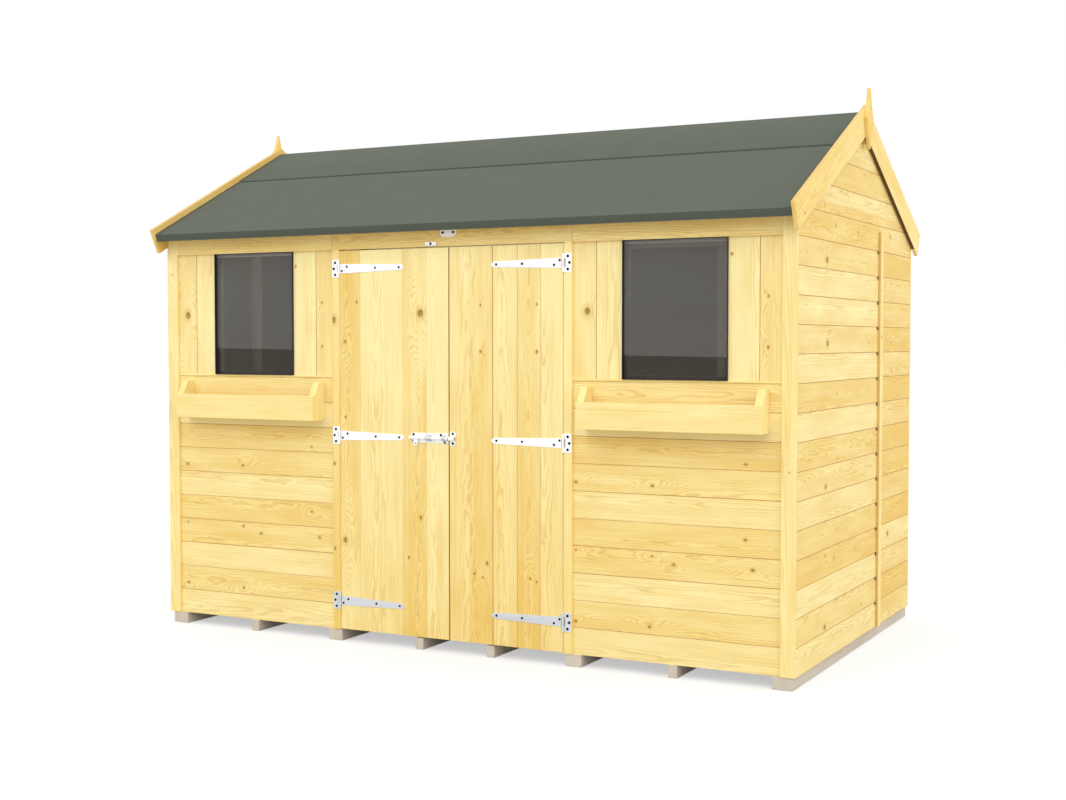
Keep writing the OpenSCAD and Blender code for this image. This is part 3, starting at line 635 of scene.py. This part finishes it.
# Door boards get paler upwards: painted light from above, with each board's own drift in tone besides
DOOR_FADES_LEFT = (-0.31, 0.35, 0.38, 0.37, 0.39)
DOOR_FADES_RIGHT = (0.29, 0.35, 0.29, 0.40, 0.34)
DOOR_RIM = 0.0001
DOOR_GROOVES_LEFT = (0.0001, 0.0001, 0.0001, 0.0001)
DOOR_GROOVES_RIGHT = (0.0001, 0.0013, 0.0006, 0.0004)
DOOR_KNOTS_LEFT = ((-0.45, 1.47, 0.005), (-0.51, 1.30, 0.006), (-0.51, 0.975, 0.005), (-0.515, 0.443, 0.010),
                   (-0.13, 1.42, 0.013), (-0.13, 0.56, 0.007), (-0.19, 0.388, 0.005))
DOOR_KNOTS_RIGHT = ((0.16, 1.45, 0.004), (0.16, 1.26, 0.005), (0.42, 1.45, 0.004), (0.42, 1.26, 0.005),
                    (0.19, 0.39, 0.006), (0.13, 0.342, 0.006), (0.17, 0.33, 0.004), (0.39, 0.34, 0.006),
                    (0.42, 0.33, 0.004))
POST_TONES = (1.00, 0.56)
# The posts get paler upwards the same way: painted light from above, with each post's own drift in tone besides
POST_FADES = (0.46, 0.32)
POST_KNOTS = ((-0.570, 1.394, 0.011), (-0.569, 0.772, 0.006), (-0.569, 0.402, 0.006))
DOOR_GAP = 0.005
BEAD_WIDE, BEAD_DEEP, BEAD_BACK = 0.0034, 0.0215, 0.0020
END_TONES = (0.40, 0.58, 0.28, 0.80, 0.66, 0.37, 0.53, 0.67, 0.29, 0.68, 0.26, 0.52, 0.24, 0.22, 0.54, 0.80)
REAR_TONES = (0.65, 1.00, 0.62, 0.34, 1.00, 0.70, 0.95, 1.00, 0.69, 0.98, 0.66, 0.94, 0.72, 0.67, 0.95, 0.60)
GABLE_WIDTHS = (0.040, 0.0695, BOARD, BOARD, BOARD)
GABLE_TONES = (0.77, 0.35, 0.74, 0.54, 0.42)
GABLE_GROOVES = (0.0001, GROOVE, GROOVE, GROOVE)
END_KNOTS = ((-0.49, 0.732, 0.010), (-0.53, 0.55, 0.004), (-0.49, 0.462, 0.005), (-0.37, 0.44, 0.005),
             (-0.33, 0.55, 0.003), (-0.05, 0.44, 0.003), (0.04, 0.46, 0.003), (-0.49, 0.18, 0.010),
             (0.04, 0.19, 0.004), (0.47, 0.438, 0.010), (-0.48, 1.295, 0.011), (0.13, 1.299, 0.005),
             (0.50, 1.296, 0.005), (0.57, 1.119, 0.003), (-0.34, 1.091, 0.004), (-0.33, 0.833, 0.004),
             (0.04, 0.737, 0.004), (0.57, 0.863, 0.003), (-0.495, 1.618, 0.010), (0.47, 1.767, 0.009),
             (-0.05, 1.754, 0.004), (-0.38, 1.758, 0.005), (0.04, 1.997, 0.004), (-0.53, 1.827, 0.004))


def on_wall(along, knots):
    """A wall's knots as (point, radius of the core)."""
    return [(along * a + Z * z, r if r > BIG_KNOT else r * KNOT_SHARE) for a, z, r in knots]


def equal(length, count):
    return [length / count] * count


def front_walls():
    low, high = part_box("front_cladding")
    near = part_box("door_posts")[1].x
    depth = high.y - low.y
    rows = equal(high.z - low.z, len(FRONT_TONES))
    work = Woodwork("front_cladding_boards")
    for start, knots in ((low.x, FRONT_KNOTS_LEFT), (near, FRONT_KNOTS_RIGHT)):
        work.panel(Vector((start, high.y, low.z)), X, Z, -Y, high.x - near, rows, depth, FRONT_TONES,
                   on_wall(X, knots), FRONT_GROOVES)
    work.done("shed", "cladding_pine", cladding, "front_cladding")

    low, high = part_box("front_window_boards")
    work = Woodwork("front_window_uprights")
    for edges in (*WINDOW_EDGES_LEFT, *WINDOW_EDGES_RIGHT):
        widths = [b - a for a, b in zip(edges, edges[1:])]
        tones = WINDOW_TONES[edges in (WINDOW_EDGES_LEFT[1], WINDOW_EDGES_RIGHT[1])]
        work.panel(Vector((edges[0], high.y, low.z)), Z, X, -Y, high.z - low.z, widths, depth, tones,
                   on_wall(X, WINDOW_KNOTS))
    work.done("shed", "cladding_pine", cladding, "front_window_boards")


def end_walls():
    edges = panel_edges("right_wall_panels", 1)
    for side, name in ((-1, "left"), (1, "right")):
        low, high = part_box(name + "_wall_panels")
        depth = high.x - low.x
        inner = low.x if side > 0 else high.x
        rows = equal(high.z - low.z, len(END_TONES))
        work = Woodwork(name + "_wall_boards")
        knots = on_wall(Y, END_KNOTS) if side > 0 else None
        for start, end, tones in ((low.y, edges[1], END_TONES), (edges[2], high.y, REAR_TONES)):
            work.panel(Vector((inner, start, low.z)), Y, Z, X * side, end - start, rows, depth, tones, knots,
                       notch=NOTCH_LONG + STRIP_LAP if start == low.y else NOTCH_SHORT, rims=(0, GROOVE))
        work.done("shed", "cladding_pine", cladding, name + "_wall_panels")

        low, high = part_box(name + "_gable")
        work = Woodwork(name + "_gable_boards")
        work.panel(Vector((inner, low.y, low.z)), Y, Z, X * side, high.y - low.y, GABLE_WIDTHS, depth, GABLE_TONES,
                   knots, GABLE_GROOVES, rims=(GROOVE, 0))
        for face in (-1, 1):
            work.trim(Vector((0, 0, high.z)), Vector((0, face * math.sin(PITCH), math.cos(PITCH))))
        work.done("shed", "cladding_pine", cladding, name + "_gable")


def panel_edges(node, axis):
    """Where the panels of a wall begin and end."""
    return sorted({round(v.co[axis], 4) for v in frame["nodes"][node].data.vertices})


def back_wall():
    low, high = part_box("back_panels")
    rows = equal(high.z - low.z, len(END_TONES))
    work = Woodwork("back_wall_boards")
    edges = panel_edges("back_panels", 0)
    for start, end in zip(edges[::2], edges[1::2]):
        tones = [work.random.uniform(*BACK_TONES) for _ in rows]
        work.panel(Vector((start, low.y, low.z)), X, Z, Y, end - start, rows, high.y - low.y, tones)
    work.done("shed", "cladding_pine", cladding, "back_panels")


def doors():
    for name, edges, tones, fades, knots, grooves, rims in (
            ("left", DOOR_EDGES_LEFT, DOOR_TONES_LEFT, DOOR_FADES_LEFT, DOOR_KNOTS_LEFT, DOOR_GROOVES_LEFT,
             (0, DOOR_RIM)),
            ("right", DOOR_EDGES_RIGHT, DOOR_TONES_RIGHT, DOOR_FADES_RIGHT, DOOR_KNOTS_RIGHT, DOOR_GROOVES_RIGHT,
             (DOOR_RIM, 0))):
        low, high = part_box("door_%s_boards" % name)
        edges = (low.x, *edges, high.x)
        work = Woodwork("door_%s_uprights" % name)
        work.panel(Vector((low.x, high.y, low.z)), Z, X, -Y, high.z - low.z,
                   [b - a for a, b in zip(edges, edges[1:])], high.y - low.y, tones, on_wall(X, knots), grooves,
                   fades=fades, rims=rims)
        work.done("door_" + name, "cladding_pine", cladding, "door_%s_boards" % name)


def door_beads():
    """Thin beads on the door posts that narrow the gaps beside the leaves."""
    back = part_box("door_posts")[1].y - BEAD_BACK
    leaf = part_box("door_left_boards")
    post = -leaf[0].x + DOOR_GAP
    work = Woodwork("door_post_beads")
    for x in (-post, post - BEAD_WIDE):
        work.panel(Vector((x, back, leaf[0].z)), Z, X, -Y, leaf[1].z - leaf[0].z, [BEAD_WIDE], BEAD_DEEP,
                   [sided(POST_TONES, x)], (), fades=[sided(POST_FADES, x)])
    work.done("shed", "trim_pine", trim)


def floor_and_roof_boards():
    low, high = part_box("floor_deck")
    work = Woodwork("floor_boards")
    rows = equal(high.y - low.y, round((high.y - low.y) / BOARD))
    work.panel(Vector((low.x, low.y, low.z)), X, Y, Z, high.x - low.x, rows, high.z - low.z,
               [work.random.uniform(*DECK_TONES) for _ in rows])
    work.done("shed", "framing_pine", framing, "floor_deck")

    low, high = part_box("roof_deck")
    rows = equal(high.x - low.x, round((high.x - low.x) / BOARD))
    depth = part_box("floor_deck")[1].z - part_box("floor_deck")[0].z
    for side, name in ((-1, "front"), (1, "rear")):
        down = Vector((0, side * math.cos(PITCH), -math.sin(PITCH)))
        under = Vector((0, -side * math.sin(PITCH), -math.cos(PITCH)))
        work = Woodwork("roof_boards_" + name)
        work.panel(Vector((low.x, 0, high.z)), down, X, under, high.y / math.cos(PITCH), rows, depth,
                   [work.random.uniform(*DECK_TONES) for _ in rows])
        work.done("shed", "framing_pine", framing, "roof_deck")


def barge_stain_and_shade(normal, centre, corner):
    """Stain of a barge board's top, and painted shade on its inner face and on its underside, which lies in the
    shadow of the wall behind it.
    """
    if normal.x * centre.x < -FACING:
        return BARGE_INSIDE_SHADE
    if normal.z > FACING:
        return BARGE_TOP
    if normal.z < -FACING and abs(centre.y) < EAVE_Y:
        return BARGE_UNDER_SHADE - BARGE_SHADE_EASE * (BARGE_OUTSIDE - abs(corner.x)) / BARGE_THICK
    return 0


def strip_shade(normal, centre, corner):
    """Painted shade on the side that a joint strip of an end wall turns to the front."""
    return STRIP_SIDE_SHADE if normal.y < -FACING and abs(centre.y) < EAVE_Y else 0


def timbers():
    """Timbers that keep their CAD shape: node, material, tone and knots per metre."""
    kinds = {
        "trim_pine": (trim, (
            ("sill_strips", 0.35, 0), ("head_rails", 0.54, 0), ("door_posts", POST_TONES, 0),
            ("corner_trims", 0.25, 0.6), ("joint_strips", 0.30, 0.5), ("left_barge_boards", 0.85, 0.6),
            ("right_barge_boards", 0.65, 0.6), ("finials", 0.80, 0), ("window_box_left", 0.25, 0),
            ("window_box_right", 0.22, 0))),
        "framing_pine": (framing, tuple((node, FRAMING_TONE, FRAMING_KNOTS) for node in (
            "sole_plates", "top_plates", "front_studs", "back_studs", "side_studs", "window_rails", "mid_rails",
            "gable_rafters", "roof_purlins", "eave_battens", "door_left_ledges", "door_right_ledges"))),
        "bearer_wood": (bearer, (("floor_bearers", 0.4, 0.4),)),
    }
    woods = {"head_rails": cladding}
    fades = {"door_posts": POST_FADES, "right_barge_boards": BARGE_FADE}
    knots = {"door_posts": on_wall(X, POST_KNOTS)}
    stains_and_shades = {"left_barge_boards": barge_stain_and_shade, "right_barge_boards": barge_stain_and_shade, "joint_strips": strip_shade}
    for slot, (material, nodes) in kinds.items():
        for node, tone, per_metre in nodes:
            work = Woodwork(node + "_timber")
            work.solids(node, tone, per_metre, stains_and_shades.get(node), fades.get(node, 0), knots.get(node, ()))
            work.done(body_of(node), slot, woods.get(node, material), node)


def body_of(node):
    return next(b for b, nodes in frame["record"]["behaviour"]["bodies"].items() if node in nodes)


def felts_and_metal():
    materials = {"roof_felt": felt, "zinc_steel": zinc}
    for slot, nodes in (("roof_felt", ("felt_slopes", "felt_ridge")),
                        ("zinc_steel", ("hinge_plates", "door_left_straps", "door_right_straps", "bolt_bar",
                                        "head_plate", "turn_button"))):
        for node in nodes:
            mesh = cad_mesh(node)
            round_edges(mesh, METAL_ROUND)
            piece(node + "_shape", mesh, body_of(node), slot, materials[slot], node, smooth=True)


# Roof laps

def on_felt(x, y):
    """A point on the lower felt's upper face."""
    return Vector((x, y, EAVE_UNDER + (EAVE_Y - abs(y)) * math.tan(PITCH) + ROOF_LAYERS / math.cos(PITCH)))


def bead(mesh, start, end, outward, width, height, steps=6):
    """A half-round bead from one point to another."""
    across = outward.cross(end - start).normalized()
    arc = [math.pi * i / steps for i in range(steps + 1)]
    outline = [(math.cos(a) * width / 2, math.sin(a) * height) for a in arc]
    extrude(mesh, outline, start, end - start, across, outward)


def roof_laps():
    """Bitumen along the lower edges of the ridge sheet and beside the barge boards, dark enough to paint the shade
    line there too.
    """
    low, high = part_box("felt_slopes")
    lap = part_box("felt_ridge")[1].y
    mesh = bmesh.new()
    for side in (-1, 1):
        outward = Vector((0, side * math.sin(PITCH), math.cos(PITCH)))
        y = side * (lap + LAP_BEAD / 2 * math.cos(PITCH))
        bead(mesh, on_felt(low.x + LAP_BEAD, y), on_felt(high.x - LAP_BEAD, y), outward, LAP_BEAD, LAP_BEAD_HIGH)
        for x in (low.x + EDGE_BEAD / 2, high.x - EDGE_BEAD / 2):
            for top, foot, lift in ((lap + LAP_BEAD, high.y - EDGE_BEAD, 0), (LAP_BEAD, lap, FELT_THICK)):
                ends = (on_felt(x, side * y) + outward * lift for y in (top, foot))
                bead(mesh, *ends, outward, EDGE_BEAD, LAP_BEAD_HIGH)
    piece("felt_laps", mesh, "shed", "roof_felt", bitumen_and_shade, smooth=True)

    mesh = bmesh.new()
    for y in (low.y + FELT_THICK / 2, high.y - FELT_THICK / 2):
        bead(mesh, Vector((low.x, y, low.z)), Vector((high.x, y, low.z)), -Z, FELT_THICK, DRIP_HIGH)
    piece("felt_drips", mesh, "shed", "roof_felt", felt, smooth=True)


# Glazing

def panes():
    node = frame["nodes"]["window_panes"]
    node.data.materials.clear()
    node.data.materials.append(pane)

    low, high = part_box("window_panes")
    mesh = bmesh.new()
    for near, far in (WINDOW_LEFT, WINDOW_RIGHT):
        ring(mesh, (near + SEAL_PLAY, low.z), (far - SEAL_PLAY, high.z), SEAL_WIDE, low.y - SEAL_THICK, low.y)
    round_edges(mesh, SEAL_ROUND)
    piece("glazing_seals", mesh, "shed", "window_pane", rubber, smooth=True)


def ring(mesh, low, high, width, front, back):
    """A rectangular frame in the plane of the front wall."""
    corners = [(low[0], low[1]), (high[0], low[1]), (high[0], high[1]), (low[0], high[1])]
    inside = [(x + (width if x == low[0] else -width), z + (width if z == low[1] else -width)) for x, z in corners]
    verts = [[mesh.verts.new((x, y, z)) for x, z in loop] for loop, y in (
        (corners, front), (inside, front), (inside, back), (corners, back))]
    for i in range(4):
        for a, b in zip(verts, verts[1:] + verts[:1]):
            j = (i + 1) % 4
            mesh.faces.new((a[i], a[j], b[j], b[i]))
    bmesh.ops.recalc_face_normals(mesh, faces=mesh.faces)


# Ironmongery

def extrude(mesh, outline, start, along, across, outward):
    """A closed outline of (across, outward) points drawn out along a direction."""
    rings = [[mesh.verts.new(p + across * a + outward * b) for a, b in outline] for p in (start, start + along)]
    for i in range(len(outline)):
        j = (i + 1) % len(outline)
        mesh.faces.new((rings[0][i], rings[0][j], rings[1][j], rings[1][i]))
    for end in rings:
        mesh.faces.new(end)
    bmesh.ops.recalc_face_normals(mesh, faces=mesh.faces)


def staple(mesh, near, far, height, surface, lift, outer, inner, foot, thick, steps=12):
    """A strip bent over the bolt's bar, with a foot above and below."""
    arc = [math.pi * i / steps for i in range(steps + 1)]
    over = [(outer * math.cos(a), lift + outer * math.sin(a)) for a in arc]
    back = [(inner * math.cos(a), lift + inner * math.sin(a)) for a in arc[::-1]]
    outline = [(foot, 0), (foot, thick), (outer, thick), *over, (-outer, thick), (-foot, thick), (-foot, 0),
               (-inner, 0), *back, (inner, 0)]
    extrude(mesh, outline, Vector((near, surface, height)), X * (far - near), Z, -Y)


def head(mesh, centre, outward, radius, height, cross=0.0, turn=0.0, steps=24):
    """A domed screw or rivet head with a cross recess of the given half width."""
    side = outward.orthogonal().normalized()
    up = outward.cross(side)
    angles = [TURN * i / steps for i in range(steps)]
    rings = [[mesh.verts.new(centre + (side * math.cos(a) + up * math.sin(a)) * radius) for a in angles]]
    for share in HEAD_RINGS:
        loop = []
        for angle in angles:
            a, b = math.cos(angle + turn) * share, math.sin(angle + turn) * share
            level = 1 - HEAD_DOME * share ** 2
            if cross and share < HEAD_RECESS and min(abs(a), abs(b)) < cross:
                level -= HEAD_CUT
            loop.append(mesh.verts.new(centre + (side * math.cos(angle) + up * math.sin(angle)) * radius * share
                                       + outward * height * level))
        rings.append(loop)
    for inner, outer in zip(rings[1:], rings):
        for i in range(steps):
            j = (i + 1) % steps
            mesh.faces.new((outer[i], outer[j], inner[j], inner[i]))
    mesh.faces.new(rings[0])
    mesh.faces.new(rings[-1])


def screws(name, body, spots, material=black, radius=SCREW, height=SCREW_HIGH, cross=SCREW_CROSS):
    mesh = bmesh.new()
    draw = random.Random(name)
    for spot in spots:
        head(mesh, Vector(spot), -Y, radius, height, cross, draw.uniform(0, 1))
    piece(name, mesh, body, "zinc_steel", material, smooth=True)


def hinge_screws():
    low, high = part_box("hinge_plates")
    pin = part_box("door_left_straps")[0].x + KNUCKLE
    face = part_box("door_left_boards")[0].y - HINGE_THICK
    half = HINGE_HIGH / 2
    heights = [low.z + half, (low.z + high.z) / 2, high.z - half]
    plates = []
    for side, body in ((1, "door_left"), (-1, "door_right")):
        plates += [(side * (pin + a), face, z + side * b) for z in heights for a, b in PLATE_SCREWS]
        screws(body + "_strap_screws", body, [(side * (pin + a), face, z + side * b) for z in heights
                                              for a, b in STRAP_SCREWS], radius=STRAP_SCREW)
    screws("hinge_plate_screws", "shed", plates)

    hinge_marks("hinge_slots", "shed", slot_wood, (SLOT_HALF, SLOT_ROUND), [
        Vector((side * (pin + SLOT_OFF), face, z)) for side in (1, -1) for z in heights])
    # Thin black lines, painted shade where the plates and straps meet the knuckles
    off, rise, long = PLATE_SHADE_LINE
    hinge_marks("hinge_plate_shade_lines", "shed", black, (long, SHADE_LINE_ROUND), [
        Vector((side * (pin + off), face, z + way * rise))
        for side in (1, -1) for z in heights for way in (1, -1)])
    off, rise, long = STRAP_SHADE_LINE
    for side, body in ((1, "door_left"), (-1, "door_right")):
        hinge_marks(body + "_strap_shade_lines", body, black, (long, SHADE_LINE_ROUND), [
            Vector((side * (pin + off), face, z + rise)) for z in heights])


def hinge_marks(name, body, material, size, places, steps=6):
    """Thin upright marks with round ends on the hinges."""
    long, radius = size
    arc = [math.pi * i / steps for i in range(steps + 1)]
    upper = [(radius * math.cos(a), long + radius * math.sin(a)) for a in arc]
    mesh = bmesh.new()
    for place in places:
        extrude(mesh, upper + [(-x, -z) for x, z in upper], place, -Y * SLOT_HIGH, X, Z)
    piece(name, mesh, body, "zinc_steel", material, smooth=True)


def bolt():
    """Plate, staples and keeper of the bolt."""
    low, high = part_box("bolt_plate")
    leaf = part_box("door_left_boards")[0].y
    middle = (low.z + high.z) / 2
    half = (high.z - low.z) / 2
    face = leaf - BOLT_PLATE_THICK
    mesh = bmesh.new()
    corner = [(low.x + BOLT_CORNER - BOLT_CORNER * math.sin(a), half - BOLT_CORNER + BOLT_CORNER * math.cos(a))
              for a in (math.pi / 2 * i / CORNER_STEPS for i in range(CORNER_STEPS + 1))]
    outline = [(high.x, half), *corner, *((x, -z) for x, z in corner[::-1]), (high.x, -half)]
    extrude(mesh, outline, Vector((0, face, middle)), Y * BOLT_PLATE_THICK, X, Z)
    round_edges(mesh, METAL_ROUND)
    piece("bolt_plate_shape", mesh, "door_left", "zinc_steel", zinc, "bolt_plate", smooth=True)
    mesh = bmesh.new()
    for near, far in BOLT_STAPLES:
        staple(mesh, near, far, middle, face, BOLT_LIFT, BOLT_OUTER, BOLT_INNER, BOLT_FOOT, STAPLE_THICK)
    round_edges(mesh, METAL_ROUND)
    # The staples take the darker, painted-shade copy of the zinc
    piece("bolt_staples", mesh, "door_left", "zinc_steel", shaded_zinc, "bolt_plate", smooth=True)
    screws("bolt_plate_screws", "door_left", [(x, face, middle + z) for x, z in BOLT_SCREWS])
    screws("bolt_plate_rivets", "door_left", [(x, face, middle + z) for x, z in BOLT_RIVETS], brass, RIVET,
           RIVET_HIGH, cross=0)

    low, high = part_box("bolt_keeper")
    half = (high.z - low.z) / 2
    mesh = bmesh.new()
    staple(mesh, low.x, high.x, middle, leaf, BOLT_LIFT + BOLT_PLATE_THICK, KEEPER_OUTER, BOLT_INNER, half,
           STAPLE_THICK)
    round_edges(mesh, METAL_ROUND)
    piece("bolt_keeper_shape", mesh, "door_right", "zinc_steel", zinc, "bolt_keeper", smooth=True)
    screws("bolt_keeper_screws", "door_right", [(KEEPER_SCREW_X, leaf - STAPLE_THICK, middle + z)
                                                for z in (-KEEPER_SCREW_Z, KEEPER_SCREW_Z)])


def head_screws():
    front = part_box("head_plate")[0].y
    screws("head_plate_screws", "shed", [(x, front, HEAD_SCREW_Z) for x in HEAD_SCREWS])
    low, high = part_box("turn_button")
    screws("turn_button_screw", "turn_button", [((low.x + high.x) / 2, low.y, (low.z + high.z) / 2)])


# Stage. Lamps are (name, strength, lean from upright, turn, spread), in degrees.
WORLD_LIGHT = 0.62
SUNS = (("key", 1.15, 51, -25, 50), ("side", 1.74, 60, 72, 90), ("rear", 0.9, 50, 200, 90))

# Half the floor's side, its grey as it lights the shed, and the share of its own glow where it is seen
FLOOR_HALF, FLOOR_GREY, FLOOR_GLOW = 60, (0.5, 0.5, 0.5, 1), 0.5

# A cool lamp under the front eave lights the inside, as seen through the panes.
INSIDE_LIGHT, INSIDE_COLOUR = 16, (0.75, 0.88, 1.0)
INSIDE_PLACE, INSIDE_LEAN, INSIDE_SIZE = (0, -0.70, 1.80), math.radians(40), (2.4, 0.15)


def lamp(name, kind, energy, turn, **settings):
    data = bpy.data.lights.new(name, kind)
    data.energy = energy
    for key, value in settings.items():
        setattr(data, key, value)
    made = added(name, data)
    made.rotation_euler = turn
    return made


def stage():
    scene = bpy.context.scene
    scene.view_settings.view_transform = "Standard"

    g = Graph("studio", bpy.data.worlds, "Background")
    scene.world = g.set(Color=WHITE, Strength=WORLD_LIGHT)
    g.whiten(g.seen(), "ShaderNodeBackground", "World Output")

    for name, energy, lean, turn, spread in SUNS:
        lamp(name, "SUN", energy, (math.radians(lean), 0, math.radians(turn)), angle=math.radians(spread))
    inside = lamp("inside", "AREA", INSIDE_LIGHT, (INSIDE_LEAN, 0, 0), shape="RECTANGLE", size=INSIDE_SIZE[0],
                  size_y=INSIDE_SIZE[1], color=INSIDE_COLOUR)
    inside.location = INSIDE_PLACE
    inside.visible_camera = inside.visible_glossy = inside.visible_transmission = False

    g = Graph("pale_floor")
    seen = g.seen()
    g.set(Base_Color=g.mix(seen, FLOOR_GREY, WHITE), Roughness=0.9, Specular_IOR_Level=0.1)
    g.whiten(g.math("MULTIPLY", seen, FLOOR_GLOW), "ShaderNodeEmission", "Material Output")
    mesh = bmesh.new()
    bmesh.ops.create_grid(mesh, x_segments=1, y_segments=1, size=FLOOR_HALF)
    data = bpy.data.meshes.new("floor")
    mesh.to_mesh(data)
    mesh.free()
    data.materials.append(g.owner)
    ground = added("floor", data)

    data = bpy.data.cameras.new("camera")
    data.lens = CAMERA_LENS
    data.sensor_width = CAMERA_SENSOR
    scene.camera = added("camera", data)
    scene.camera.location = CAMERA_PLACE
    scene.camera.rotation_euler = (math.radians(90) - CAMERA_DOWN, 0, CAMERA_LEFT)


stage()
front_walls()
end_walls()
back_wall()
doors()
door_beads()
floor_and_roof_boards()
timbers()
felts_and_metal()
roof_laps()
panes()
hinge_screws()
bolt()
head_screws()
